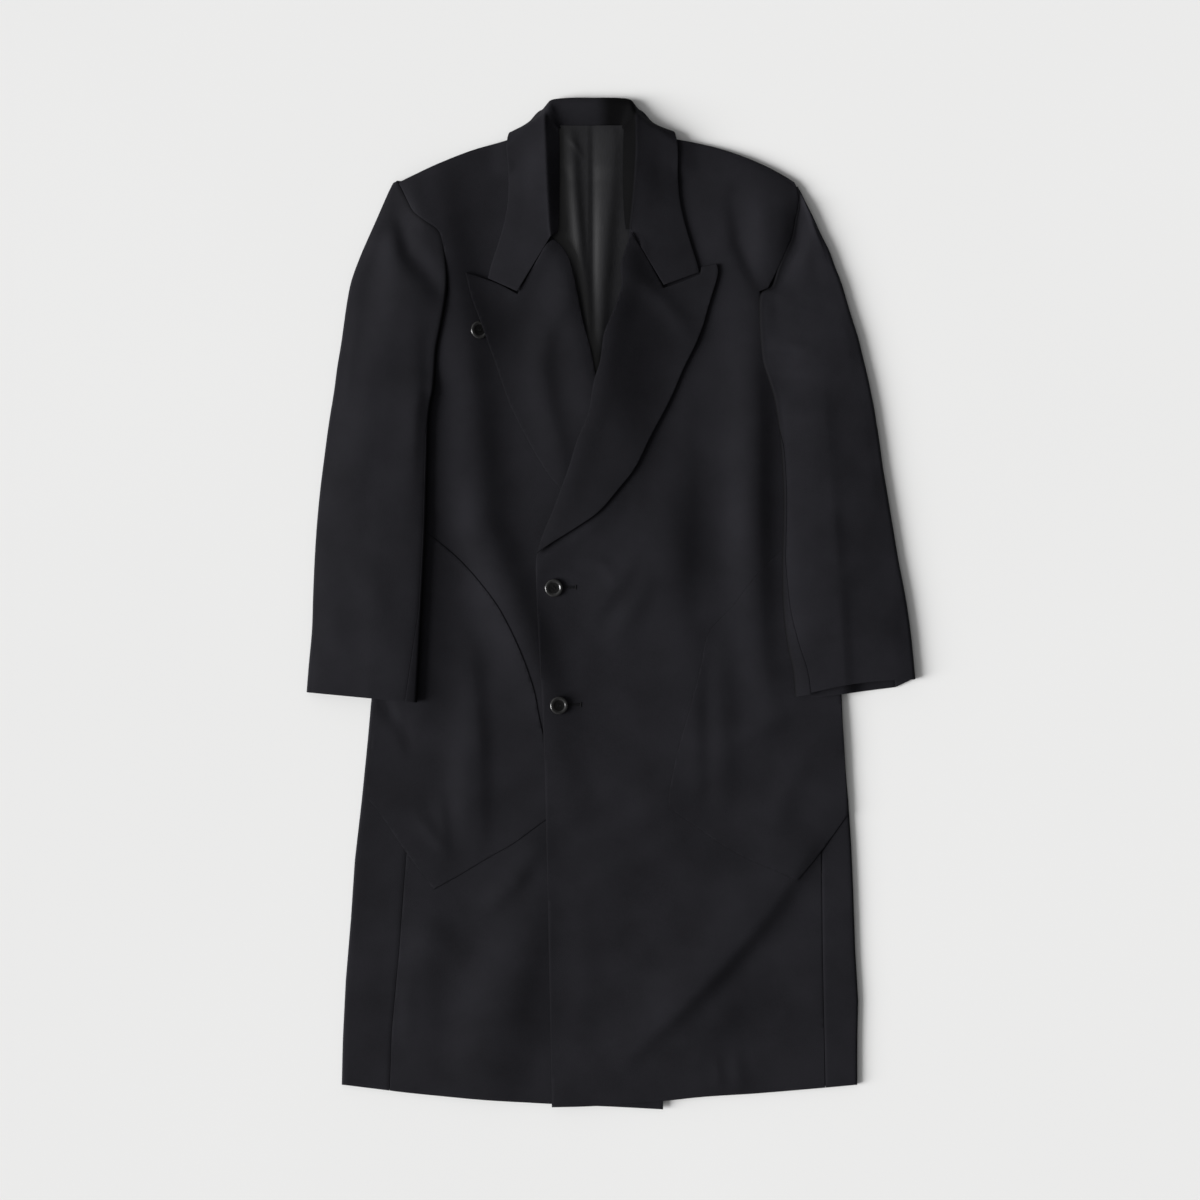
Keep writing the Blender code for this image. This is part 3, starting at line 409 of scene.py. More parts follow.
# The lining: thin black satin with a pleat down the middle of the back. Only the part
# that shows between the fronts is made. It is fine, so it lies in long shallow folds.

LINING_WALL = 1.0
LINING_ROOM = 1.5
LINING_WEAVE = 2.5
LINING_EDGE = 0.5
LINING_LIFT = 0.6
LINING_FADE = 60.0
COVER_MARGIN = 3.0
LINING = (
    (-61.0, 548.2), (-61.6, 500.0), (-75.0, 440.0), (-76.0, 410.0), (-60.0, 350.0),
    (-48.0, 300.0), (-36.0, 255.0), (-30.0, 236.0), (0.0, 236.0), (22.0, 300.0),
    (34.0, 350.0), (36.0, 410.0), (32.0, 440.0), (16.6, 500.0), (16.2, 548.2),
)
LINING_FOLDS = (
    (((-44.0, 535.0), (-40.0, 470.0), (-34.0, 400.0), (-24.0, 320.0)), (8.0, 5.0), 2.9),
    (((-47.0, 532.0), (-40.0, 524.0), (-34.0, 512.0)), 2.4, 1.0),
    (
        ((3.0, 535.0), (-1.0, 470.0), (-6.0, 414.0), (-11.0, 350.0), (-14.0, 297.0),
         (-15.0, 255.0)),
        (16.0, 9.0), 3.3,
    ),
    (((-22.5, 545.0), (-22.0, 430.0), (-21.5, 300.0)), (1.6, 7.0), -1.5),
)


def within(outline, x, y):
    """Whether points are inside a closed outline."""
    odd = np.zeros(np.shape(x), bool)
    for (x0, y0), (x1, y1) in zip(outline, outline[1:] + outline[:1]):
        if y0 != y1:
            crosses = (y0 > y) != (y1 > y)
            odd ^= crosses & (x < x0 + (x1 - x0) * (y - y0) / (y1 - y0))
    return odd


def cover(outline, x, y, fade=24.0):
    """1 over an outline and a little round it, fading to 0 outside."""
    gap = off_line(outline + outline[:1], x, y)[0] - COVER_MARGIN
    return np.where(within(outline, x, y), 1.0, 1.0 - soft_step(gap / fade))


def lining_floor(x, y):
    lift = LINING_LIFT * cover(LINING, x, y, LINING_FADE)
    return back_floor(x, y) + BODY_WALL + SEAM + lift


def lining_lies(x, y):
    on_top = LINING_ROOM - LINING_WALL
    return lining_floor(x, y) + on_top + creases(LINING_FOLDS, x, y)


SATIN_DARK = (0.0056, 0.0056, 0.0067)
SATIN_LIGHT = (0.0106, 0.0106, 0.0124)


def satin(name):
    """Black satin: long fine threads that catch the light along the folds."""
    material, tree, shader, where = new_material(name)
    pull = tree.nodes.new("ShaderNodeMapping")
    pull.inputs["Scale"].default_value = (1.0, 0.12, 1.0)
    tree.links.new(where, pull.inputs["Vector"])
    threads = noise(tree, pull.outputs["Vector"], 900.0)
    relief(tree, shader, threads, 0.2, 0.0002)
    colour = shades(tree, threads, SATIN_DARK, SATIN_LIGHT, 0.3, 0.75)
    tree.links.new(colour, shader.inputs["Base Color"])
    shader.inputs["Roughness"].default_value = 0.4
    shader.inputs["Specular IOR Level"].default_value = 0.42
    return material


lining = cut_cloth("lining_cloth", chalked(LINING), LINING_WEAVE, lining_lies, LINING_WALL,
                   LINING_EDGE)
lining.data.materials.append(satin("lining_satin"))
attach(lining, "root")
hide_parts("lining")


# The side panels: the same wool, folded softly round each side of the body from the side
# seam on the front to the back. The fold stands a little open, as pressed wool does.

SIDE_FOLD = 2.0
NECK_MIDDLE = -20.0
SIDE_ROWS = 130
SEAM_TUCK = 0.2
SIDE_TURN = (68.0, 45.0, 22.0, 0.0, -22.0, -45.0, -68.0)

# Shoulder line of each front, then the largest folds of the body.
SHOULDER_RIGHT = (
    (-78.0, 540.0), (-95.0, 537.0), (-113.0, 532.5), (-126.0, 529.0),
    (-158.5, 520.0), (-194.0, 506.0), (-224.0, 492.0), (-240.5, 484.0),
)
SHOULDER_LEFT = (
    (196.7, 491.5), (167.9, 506.0), (130.0, 520.0), (97.8, 528.0), (80.0, 531.0),
    (60.0, 534.5), (40.0, 537.6), (23.0, 537.4),
)
PADS = ((-222.0, 425.0, 92.0, 95.0), (165.0, 440.0, 70.0, 80.0))
PAD_HEIGHT = 6.0
PAD_FADE = 26.0
FOLDS = (
    (((-190.9, 187.5), (-135.0, 30.0), (-75.9, -111.6)), 26.0, 3.0),
    (((-171.4, -151.8), (-167.9, -261.0)), 16.0, 2.6),
    (((-127.7, -399.0), (-150.0, -480.0), (-162.0, -548.6)), 30.0, 1.6),
    (((-205.0, -330.0), (-215.0, -430.0), (-222.0, -540.0)), 22.0, 2.2),
    (((156.4, 279.5), (156.4, -42.6)), 22.0, 3.0),
    (((125.4, -54.0), (127.7, -226.6)), 16.0, 2.4),
    (((171.4, 463.5), (173.7, 371.5)), 16.0, 3.0),
)

# The folds that run over an armhole seam, so the sleeve has them too.
SHOULDER_FOLDS = (
    (
        ((-252.0, 478.0), (-243.0, 430.0), (-241.0, 383.0), (-244.0, 337.0), (-256.0, 280.0)),
        (26.0, 62.0), 6.0,
    ),
    (((-236.0, 482.0), (-222.0, 452.0), (-208.0, 424.0)), (8.0, 14.0), 2.0),
    (
        ((-246.0, 476.0), (-241.0, 440.0), (-229.0, 404.0), (-208.0, 374.0), (-194.0, 352.0)),
        (12.0, 12.0), -4.8,
    ),
    (((226.0, 478.0), (223.0, 440.0), (214.0, 400.0), (190.0, 350.0)), (13.0, 70.0), -4.8),
)

# Smaller creases of the body, shared by all that lies on it.
SMALL_FOLDS = (
    (
        ((-203.0, 492.0), (-192.0, 430.0), (-177.0, 350.0), (-166.0, 291.0), (-160.0, 233.0),
         (-147.0, 93.0), (-115.0, 15.0), (-90.0, -54.0), (-76.0, -112.0)),
        (32.0, 25.0), 8.0,
    ),
    (
        ((-202.0, 330.0), (-211.0, 230.0), (-212.0, 120.0), (-213.0, 30.0),
         (-217.0, -60.0), (-224.0, -112.0)),
        (24.0, 28.0), 5.4,
    ),
    (((-162.0, -54.0), (-153.0, -158.0), (-151.0, -273.0)), (20.0, 12.0), 3.4),
    (((-222.0, -244.0), (-191.0, -284.0)), 8.0, 1.6),
    (((-196.0, -222.0), (-189.0, -284.0)), (9.0, 6.0), 1.2),
    (((-247.0, -117.0), (-238.0, -165.0)), (10.0, 7.0), 1.8),
    (((-239.0, -365.0), (-195.0, -388.0), (-158.0, -405.0)), 20.0, 2.6),
    (((-145.0, -355.0), (-112.0, -322.0), (-85.0, -282.0)), (15.0, 10.0), 2.6),
    (
        ((-78.0, -320.0), (-94.0, -365.0), (-114.0, -434.0), (-130.0, -500.0),
         (-141.0, -560.0)),
        (42.0, 33.0), 6.4,
    ),
    (((-232.0, -420.0), (-236.0, -500.0)), 10.0, 1.2),
    (((100.0, -40.0), (98.0, -134.0), (101.0, -227.0)), (14.0, 9.0), 1.5),
    (((206.0, -125.0), (172.0, -146.0), (138.0, -158.0)), 13.0, 2.2),
    (((218.0, -190.0), (196.0, -230.0), (190.0, -262.0)), 14.0, 1.4),
    (((141.0, 462.0), (148.0, 414.0), (166.0, 375.0), (177.0, 356.0)), (10.0, 30.0), -4.0),
    (((194.0, 466.0), (192.0, 425.0), (184.0, 385.0)), (22.0, 13.0), 2.4),
    (((-264.0, -108.0), (-243.0, -140.0), (-233.0, -166.0)), 9.0, -2.6),
)


WAVINESS = 0.28


def uneven(x, y):
    """The slight waviness of cloth that has been in use and laid down by hand."""
    wave = np.sin(x / 31.0 + 1.3 * np.sin(y / 57.0)) * np.sin(y / 43.0 + 0.8)
    wave = wave + 0.6 * np.sin(x / 17.0 - y / 23.0 + 2.0 * np.sin(y / 71.0))
    return WAVINESS * wave


def base(x, y):
    """Underside of the cloth that lies over the back, without what one front adds."""
    height = lining_floor(x, y)
    height = height + (LINING_ROOM + SEAM) * cover(LINING, x, y, LINING_FADE)
    height = height + 2 * SIDE_FOLD - BODY_WALL - SEAM
    pad = np.zeros(np.shape(x))
    for px, py, wide, long in PADS:
        pad = pad + np.exp(-(((x - px) / wide) ** 2) - ((y - py) / long) ** 2)
    right = off_line(((-60.0, 541.5),) + SHOULDER_RIGHT + ((-245.6, 482.0),), x, y)[0]
    left = off_line(((211.0, 482.0),) + SHOULDER_LEFT + ((14.0, 541.0),), x, y)[0]
    edge = np.minimum(np.where(x < NECK_MIDDLE, right, left) / PAD_FADE, 1.0)
    height = height + PAD_HEIGHT * pad * np.sqrt(1.0 - (1.0 - edge) ** 2)
    for table in (FOLDS, SHOULDER_FOLDS, SMALL_FOLDS):
        height = height + creases(table, x, y)
    return height + uneven(x, y)


WORN_EDGE = 0.14
SHARP_EDGE = 50.0


def drape(name, points, wall, cut_away=None, painted_shade=None):
    """A sheet of cloth through rows of points, with its wall on both sides of them.

    cut_away says which cells between the rows aren't there, and the last argument how much
    painted shade darkens each point.
    """
    tall, wide = points.shape[:2]
    bm = bmesh.new()
    bmesh.ops.create_grid(bm, x_segments=wide - 1, y_segments=tall - 1, size=1.0)
    bm.verts.ensure_lookup_table()
    for vert, point in zip(bm.verts, points.reshape(-1, 3) * MM):
        vert.co = point
    # Painted shade, point by point, read by the wool's colour.
    if painted_shade is not None:
        flat = bm.verts.layers.float.new("painted_shade")
        for vert, value in zip(bm.verts, painted_shade.ravel()):
            vert[flat] = float(value)
    if cut_away is not None:
        bm.faces.ensure_lookup_table()
        away = [bm.faces[n] for n in np.flatnonzero(cut_away.ravel())]
        bmesh.ops.delete(bm, geom=away, context="FACES")
    bm.normal_update()
    obj = lay_out(name, as_mesh(bm, name))
    thick = obj.modifiers.new("wall", "SOLIDIFY")
    thick.thickness = wall * MM
    thick.offset = 0.0
    round_edge = obj.modifiers.new("round_edge", "BEVEL")
    round_edge.width = WORN_EDGE * MM
    round_edge.segments = 2
    round_edge.limit_method = "ANGLE"
    round_edge.angle_limit = math.radians(SHARP_EDGE)
    round_edge.use_clamp_overlap = False
    return obj


def side_panel(name, seam, side, low, toward):
    half = BODY_WALL / 2
    curve = chalked(tuple(side_line(seam, low, ARMPIT)))
    curve = curve[:max(range(len(curve)), key=lambda n: curve[n][1]) + 1]
    sewn = [(y, x) for x, y in curve]
    turn = np.radians(np.array(SIDE_TURN))
    lines = []
    for t in np.linspace(0.0, 1.0, SIDE_ROWS):
        y_seam = low + (ARMPIT - low) * t
        y_side = HEM_AT_SIDE + (SIDE_TOP - HEM_AT_SIDE) * t
        x_seam = float(across_at(sewn, y_seam)) + toward * SEAM
        x_side = float(across_at(side, y_side))
        centre = x_side - toward * (SIDE_FOLD + half)
        u = np.linspace(0.0, 1.0, 12)
        x, y = x_seam + (centre - x_seam) * u, y_seam + (y_side - y_seam) * u
        fold = half + 2 * SIDE_FOLD
        z = (base(x, y) + half) * (1.0 - soft_step(u)) + fold * soft_step(u)
        z[0] -= SEAM_TUCK
        back = np.linspace(0.0, 1.0, 6)
        reach = SIDE_UNDER - SIDE_FOLD - half
        round_x = centre + toward * SIDE_FOLD * np.cos(turn)
        x = np.concatenate((x, round_x, centre - toward * reach * back))
        y = np.concatenate((y, np.full(len(turn) + len(back), y_side)))
        round_z = half + SIDE_FOLD * (1.0 + np.sin(turn))
        z = np.concatenate((z, round_z, np.full(len(back), half)))
        row = np.stack((x, y, z), axis=1)
        lines.append(row if toward > 0 else row[::-1])
    piece = drape(name + "_cloth", np.array(lines), BODY_WALL)
    piece.data.materials.append(twill(name + "_wool", 0.03 * toward))
    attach(piece, "root")
    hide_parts(name)


side_panel("side_right", SEAM_RIGHT, SIDE_RIGHT, -559.7, -1.0)
side_panel("side_left", SEAM_LEFT, SIDE_LEFT, -556.4, 1.0)


# The right front: one long piece of wool with its canvas inside, which makes it roll
# softly at the lapel. It lies under the left front and shows its corner below that hem.

FRONT_WEAVE = 4.0
FRONT_EDGE = 0.45
ROLL_HEIGHT = 7.0
ROLL_LOSS = 6.0
LOST_SOONER = 1.3
ROLL_RIGHT = (
    (-62.6, 415.0), (-51.8, 402.5), (-43.7, 380.7), (-39.1, 358.8), (-31.0, 319.7),
    (-24.2, 295.6), (-17.3, 261.1), (-9.2, 217.4), (0.0, 186.3), (8.0, 156.4),
    (16.1, 131.1), (25.3, 103.5), (34.5, 75.9), (39.1, 56.4),
)
RIGHT_FRONT = (
    (-242.7, -561.2), (-185.2, -567.0), (-127.7, -571.6), (-70.2, -575.0),
    (0.0, -578.2), (59.8, -581.3), (59.8, -456.0), (57.5, -295.0), (50.6, -134.0),
    (44.9, -65.0), (39.1, 3.5),
) + tuple(reversed(ROLL_RIGHT)) + (
    (-69.6, 421.0), (-68.0, 436.0), (-64.8, 452.0), (-64.0, 480.0), (-64.0, 510.0),
    (-64.4, 530.0), (-68.0, 538.0),
) + SHOULDER_RIGHT + (
    (-245.6, 484.5), (-241.2, 477.0), (-234.2, 462.6), (-226.0, 447.4),
    (-212.7, 436.4), (-196.4, 423.6), (-190.4, 398.0), (-186.9, 372.0),
    (-188.0, 350.0), (-199.0, 325.0), (-212.0, 290.0), (-222.0, 260.0),
    (-226.0, 240.0),
) + tuple(reversed(side_line(SEAM_RIGHT, -559.7, ARMPIT)))

# Under its lapel the right front rolls less high, and highest a little inside the line.
RIGHT_ROLL_SHARE = 0.6
RIGHT_ROLL_WIDTH = 22.0
RIGHT_ROLL_CREST = 14.0


def roll_rise(line, x, y, width, crest=0.0):
    """How far the soft roll of a lapel lifts the front beneath it.

    crest is how far inside the roll line the roll stands highest.
    """
    gap = off_line(line, x, y)[0]
    down = (line[0][1] - y) / (line[0][1] - line[-1][1])
    height = ROLL_HEIGHT - ROLL_LOSS * soft_step(down * LOST_SOONER)
    return height * np.exp(-(((gap - crest) / width) ** 2))


def right_front_floor(x, y):
    roll = roll_rise(ROLL_RIGHT, x, y, RIGHT_ROLL_WIDTH, RIGHT_ROLL_CREST)
    return base(x, y) + RIGHT_ROLL_SHARE * roll


def front(name, outline, floor, turn):
    piece = cut_cloth(name + "_cloth", chalked(outline), FRONT_WEAVE, floor, BODY_WALL,
                      FRONT_EDGE)
    piece.data.materials.append(twill(name + "_wool", turn))
    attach(piece, "root")
    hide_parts(name)


front("front_right", RIGHT_FRONT, right_front_floor, 0.02)


# The right patch pocket: a pointed patch of the same wool, sewn on at its outer edge and
# its bottom. Its curved opening is on the inner side, and it gapes a little there.

POCKET_WALL = 0.7
POCKET_WEAVE = 4.0
POCKET_EDGE = 0.4
# How far in from the pocket's edge its painted shade reaches: the lower, the farther.
POCKET_CRISP = 0.12
POCKET_AIR = 0.1
GAPE_WIDTH = 8.0
GAPE_RIGHT = 0.1
POCKET_RIGHT = (
    (-215.0, 83.0), (-193.2, 66.7), (-171.4, 47.2), (-150.7, 24.2), (-130.0, -3.5),
    (-113.9, -33.4), (-98.9, -67.9), (-87.4, -103.5), (-82.8, -128.8),
    (-70.2, -180.6), (-56.8, -229.5), (-57.5, -237.0), (-77.5, -250.7),
    (-113.9, -277.2), (-141.5, -292.7), (-174.8, -312.8), (-203.6, -328.9),
    (-236.9, -284.1), (-270.0, -236.0), (-280.5, -224.0), (-275.0, -157.6),
    (-270.4, -105.8), (-265.5, -40.0), (-261.5, 40.0), (-259.0, 88.0), (-240.0, 92.0),
)
OPENING_RIGHT = ((-130.0, -3.5), (-113.9, -33.4), (-98.9, -67.9), (-87.4, -103.5))

# The left front covers the lower end of the opening, which stays flat there.
GAPE_STOPS = -70.0
GAPE_FADE = 12.0


def gape(line, x, y, height):
    """How far the edge of a pocket's opening stands off the front."""
    gap, way, _ = off_line(line, x, y)
    rise = height * np.sin(math.pi * np.clip(way, 0.0, 1.0))
    return rise * np.exp(-((gap / GAPE_WIDTH) ** 2))


def right_pocket_floor(x, y):
    rise = gape(OPENING_RIGHT, x, y, GAPE_RIGHT) * soft_step((GAPE_STOPS - x) / GAPE_FADE)
    return right_front_floor(x, y) + BODY_WALL + POCKET_AIR + rise


def pocket(name, outline, floor):
    piece = cut_cloth(name + "_cloth", chalked(outline), POCKET_WEAVE, floor, POCKET_WALL,
                      POCKET_EDGE, POCKET_CRISP)
    piece.data.materials.append(twill(name + "_wool", 0.05))
    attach(piece, "root")
    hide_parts(name)


pocket("pocket_right", POCKET_RIGHT, right_pocket_floor)


# The right lapel: the facing, turned out over the front along its roll. It is two layers
# of wool with canvas, so it is springy: it swells beside the roll and its edge is crisp.

LAPEL_WALL = 2.0
LAPEL_WEAVE = 3.5
LAPEL_EDGE = 0.5
AIR = 0.8
SWELL_HEIGHT = 1.2
SWELL_AT = 8.0
SWELL_WIDTH = 14.0

# The button under the lapel's edge lifts it: the button's place and height, the air over
# it and how far round it the lapel is lifted.
BUTTON_RIGHT_FRONT = (-150.7, 312.8)
BUTTON_HEIGHT = 3.4
BUTTON_AIR = 1.1
BUTTON_SPREAD = 32.0
LAPEL_RIGHT = (
    (-67.0, 416.0), (-73.8, 410.8), (-84.4, 393.4), (-94.8, 376.8), (-107.4, 354.4),
    (-126.5, 364.9), (-141.4, 370.6), (-166.8, 378.9), (-159.9, 350.8),
    (-150.7, 325.5), (-132.3, 273.7), (-116.2, 227.7), (-95.5, 186.3), (-75.9, 153.0),
    (-58.7, 131.1), (-31.0, 103.5), (-8.0, 87.4), (19.6, 70.2), (33.4, 61.0),
) + tuple(reversed(ROLL_RIGHT))
LAPEL_RIGHT_FOLDS = (
    (
        ((-47.0, 352.0), (-74.0, 310.0), (-80.0, 274.0), (-73.0, 226.0), (-62.0, 185.0),
         (-56.0, 141.0)),
        (18.0, 13.0), 3.2,
    ),
    (((-70.0, 415.0), (-84.0, 394.0), (-106.0, 357.0)), 12.0, 2.6),
)


def swell(line, x, y):
    """How far a lapel swells off the front beside its roll."""
    gap = off_line(line, x, y)[0]
    return SWELL_HEIGHT * np.exp(-(((gap - SWELL_AT) / SWELL_WIDTH) ** 2))


def right_lapel_floor(x, y):
    button = np.hypot(x - BUTTON_RIGHT_FRONT[0], y - BUTTON_RIGHT_FRONT[1])
    lift = (BUTTON_HEIGHT + BUTTON_AIR) * np.exp(-((button / BUTTON_SPREAD) ** 2))
    rise = AIR + swell(ROLL_RIGHT, x, y) + lift + creases(LAPEL_RIGHT_FOLDS, x, y)
    return right_front_floor(x, y) + BODY_WALL + rise


def lapel(name, outline, floor):
    piece = cut_cloth(name + "_cloth", chalked(outline), LAPEL_WEAVE, floor, LAPEL_WALL,
                      LAPEL_EDGE)
    piece.data.materials.append(twill(name + "_wool", 0.12, 0.88))
    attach(piece, "root")
    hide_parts(name)


lapel("lapel_right", LAPEL_RIGHT, right_lapel_floor)


# The left front: the same cut, closed over the right one and buttoned twice. A long drag
# fold runs from its pocket down to the hem, where the cloth was pulled when it was laid.

ROLL_LEFT = (
    (19.5, 414.0), (12.6, 394.5), (10.3, 383.0), (12.0, 366.9), (6.9, 345.0),
    (0.0, 327.8), (-8.0, 308.2), (-12.7, 276.0), (-19.6, 254.2), (-26.5, 217.4),
    (-39.1, 186.3), (-48.3, 156.4), (-57.5, 131.1), (-67.9, 103.5), (-79.4, 75.9),
    (-85.1, 56.4),
)
LEFT_FRONT = (
    (-67.9, -578.5), (-24.2, -577.3), (56.4, -571.6), (102.4, -567.0),
    (159.9, -563.5), (217.4, -558.9),
) + tuple(side_line(SEAM_LEFT, -556.4, ARMPIT)) + (
    (209.8, 240.0), (198.0, 262.0), (186.0, 300.0), (176.0, 335.0), (170.6, 357.6),
    (180.4, 361.6), (192.2, 384.4), (200.3, 403.3), (207.5, 420.4), (211.2, 440.0),
    (214.7, 456.0), (215.2, 468.0), (212.7, 478.0), (210.5, 483.0),
) + SHOULDER_LEFT + (
    (18.6, 530.0), (18.4, 510.0), (18.4, 480.0), (19.4, 450.0), (20.6, 424.0),
) + ROLL_LEFT + (
    (-85.1, 3.5), (-81.6, -65.5), (-78.2, -134.5), (-73.6, -295.5), (-70.2, -456.5),
)
LEFT_FOLDS = (
    (
        ((240.0, -262.0), (224.0, -289.0), (176.0, -358.0), (145.0, -394.0),
         (114.0, -428.0), (72.0, -470.0), (31.0, -508.0), (2.0, -533.0)),
        (44.0, 13.0), 7.4,
    ),
    (((62.0, 199.0), (65.5, -42.6)), 18.0, 1.2),
    (((50.6, 32.2), (20.0, -14.0), (-6.9, -54.0)), 14.0, 2.2),
    (((-58.6, -335.8), (10.4, -309.4), (90.9, -278.3)), 18.0, 2.6),
)
LEFT_SMALL_FOLDS = (
    (((79.0, 320.0), (84.0, 160.0), (80.0, 0.0), (80.0, -140.0)), (24.0, 17.0), 2.2),
    (
        ((156.0, 370.0), (163.0, 290.0), (166.0, 200.0), (167.0, 50.0), (170.0, -60.0),
         (184.0, -130.0)),
        (26.0, 17.0), 5.6,
    ),
    (((32.0, 56.0), (0.0, 12.0), (-28.0, -28.0)), (16.0, 10.0), 2.2),
    (((-42.0, 52.0), (-12.0, 46.0), (10.0, 26.0)), 9.0, 1.4),
    (((-78.0, 56.0), (-38.0, 82.0), (-8.0, 104.0), (24.0, 142.0)), (30.0, 13.0), 2.6),
    (((-86.0, 70.0), (-84.0, 44.0), (-80.0, 22.0)), (12.0, 38.0), 5.0),
    (((-60.0, -285.0), (-12.0, -272.0), (56.0, -250.0)), 16.0, 2.2),
    (((-30.0, -330.0), (-34.0, -430.0), (-40.0, -540.0)), (26.0, 20.0), 1.6),
    (((180.0, -420.0), (130.0, -470.0), (90.0, -530.0)), 16.0, 1.4),
    (((141.0, -510.0), (150.0, -560.0)), 8.0, 0.9),
    (((120.0, -516.0), (126.0, -562.0)), (7.0, 5.0), 0.7),
)

# What the large folds and the smaller creases have left of their height where they stop.
LARGE_ENDS = 0.05
SMALL_ENDS = 0.1

# What lies under the left front lifts it for some way round: the right front and its roll,
# the springy lapel, the pocket. Then the share of height and the width of its own roll.
OVER_FRONT_FADE = 105.0
OVER_ROLL_WIDTH = 64.0
OVER_LAPEL_FADE = 92.0
LAPEL_SPRING = 1.8
OVER_POCKET_FADE = 45.0
POCKET_SPRING = 0.4
LEFT_ROLL_SHARE = 0.75
LEFT_ROLL_WIDTH = 40.0


def left_front_floor(x, y):
    """The left front lies over the right front, its lapel and its pocket."""
    height = base(x, y) + LEFT_ROLL_SHARE * roll_rise(ROLL_LEFT, x, y, LEFT_ROLL_WIDTH)
    height = height + creases(LEFT_FOLDS, x, y, LARGE_ENDS)
    height = height + creases(LEFT_SMALL_FOLDS, x, y, SMALL_ENDS)
    rolled = roll_rise(ROLL_RIGHT, x, y, OVER_ROLL_WIDTH)
    height = height + cover(RIGHT_FRONT, x, y, OVER_FRONT_FADE) * (BODY_WALL + AIR + rolled)
    over_lapel = cover(LAPEL_RIGHT, x, y, OVER_LAPEL_FADE)
    height = height + over_lapel * (LAPEL_WALL + AIR + LAPEL_SPRING)
    over_pocket = cover(POCKET_RIGHT, x, y, OVER_POCKET_FADE)
    return height + over_pocket * (POCKET_WALL + AIR + POCKET_SPRING)


front("front_left", LEFT_FRONT, left_front_floor, -0.02)


# The left patch pocket: the right one in mirror image, of the same wool and sewn on in the
# same way. Nothing covers it, so the whole of its opening shows.

GAPE_LEFT = 0.15
POCKET_LEFT = (
    (202.4, 66.7), (180.6, 47.2), (159.9, 24.2), (139.2, -3.5), (125.0, -18.0),
    (112.7, -32.2), (101.9, -75.9), (88.0, -127.7), (73.6, -180.0), (66.0, -229.5),
    (66.6, -236.0), (95.5, -255.3), (124.2, -276.0), (155.3, -293.3),
    (187.5, -307.0), (213.9, -318.6), (240.2, -286.5), (261.8, -257.0),
    (271.8, -243.0), (268.4, -174.8), (265.0, -123.0), (258.5, -40.0),
    (252.5, 40.0), (249.0, 88.0), (226.0, 82.0),
)
OPENING_LEFT = ((112.7, -32.2), (101.9, -75.9), (88.0, -127.7))


def left_pocket_floor(x, y):
    rise = gape(OPENING_LEFT, x, y, GAPE_LEFT)
    return left_front_floor(x, y) + BODY_WALL + POCKET_AIR + rise


pocket("pocket_left", POCKET_LEFT, left_pocket_floor)


# The left lapel, turned out over the left front. It is the one on top, so all of it
# shows, from its peak to the point where it runs out above the first button.

LEFT_LAPEL_SPRING = 0.9
LAPEL_LEFT = (
    (23.2, 424.0), (39.2, 398.8), (60.2, 361.2), (79.8, 368.0), (102.2, 377.2),
    (103.4, 385.2), (120.8, 388.7), (121.9, 386.4), (123.0, 380.7), (120.8, 369.2),
    (116.2, 354.2), (111.6, 339.3), (105.8, 318.6), (96.6, 295.6), (84.0, 270.3),
    (67.9, 233.5), (44.9, 189.8), (26.5, 153.0), (9.2, 131.1), (-15.0, 103.5),
    (-38.0, 87.4), (-65.6, 70.2), (-79.4, 61.0),
) + tuple(reversed(ROLL_LEFT))
LAPEL_LEFT_FOLDS = (
    (((20.0, 378.0), (58.0, 348.0), (95.0, 302.0)), 12.0, 2.2),
    (((22.0, 425.0), (39.0, 399.0), (60.0, 362.0)), 12.0, -1.6),
)


def left_lapel_floor(x, y):
    rise = AIR + LEFT_LAPEL_SPRING + swell(ROLL_LEFT, x, y)
    rise = rise + creases(LAPEL_LEFT_FOLDS, x, y)
    return left_front_floor(x, y) + BODY_WALL + rise


lapel("lapel_left", LAPEL_LEFT, left_lapel_floor)


# The sleeves: a wide top sleeve and a narrow under sleeve each, joined by a front and a
# back seam and lying flat. They stay a little full, and the cuffs are turned in and plain.

SLEEVE_WALL = 2.4
SLEEVE_FOLD = 2.7
OUTER_FOLD = 3.3
FOLD_SHARE = 0.22
SLEEVE_UNDER = 41.0
SLEEVE_AIR = 1.1
CLIMB_START = 26.0
CLIMB_WIDTH = 24.0
SLEEVE_STEP = 0.12
FOLD_TURN = 66.0
FLOOR_POINTS = 8

# Counted in the table's lines: the last one of the tube, how many it takes to open above
# it, and how many the edge takes to sink into the armhole's seam.
TUBE_LAST = 9.0
CAP_FADE = 2.5
SEAM_FADE = 2.6

# Where the front seam lies round the fold once it has turned under at the armpit, and
# how many lines before the tube's last one that starts and how many it takes.
SEAM_UNDER = -0.2
UNDER_STARTS = 1.6
UNDER_FADE = 1.4

# In the armhole's seam the edge bends tightly, is tucked in and lies this much lower. Over
# the front it lies this much higher. Then how far in its round reaches, and the length of
# a line below which the cap is flatter.
TIGHT_BEND = 0.3
ARMHOLE_TUCK = 0.1
ARMHOLE_SINK = 0.3
OVER_RISE = 2.7
ROUND_REACH = 4.6
SHORT_CAP = 70.0

# How full a sleeve stays: the crown of its middle (less in the tube), its plump edges
# (more on the right sleeve than on the left one) and how far in they reach from the inner
# fold, less in the tube, and from the outer one, its waves and where its creases start.
SLEEVE_FULL = 2.2
TUBE_LESS = 0.35
PLUMP = 1.6
PLUMP_LESS_AT_LEFT = 0.8
PLUMP_INNER = 30.0
PLUMP_INNER_LESS = 21.0
PLUMP_OUTER = 10.0
SLEEVE_WAVES = 1.4
CREASES_START = 0.12

# How softly what is under a sleeve holds it up, and how far from the edges that starts.
HELD_SOFTLY = 3.6
HELD_FROM_EDGE = 15.0
SHORT_LINE = 90.0
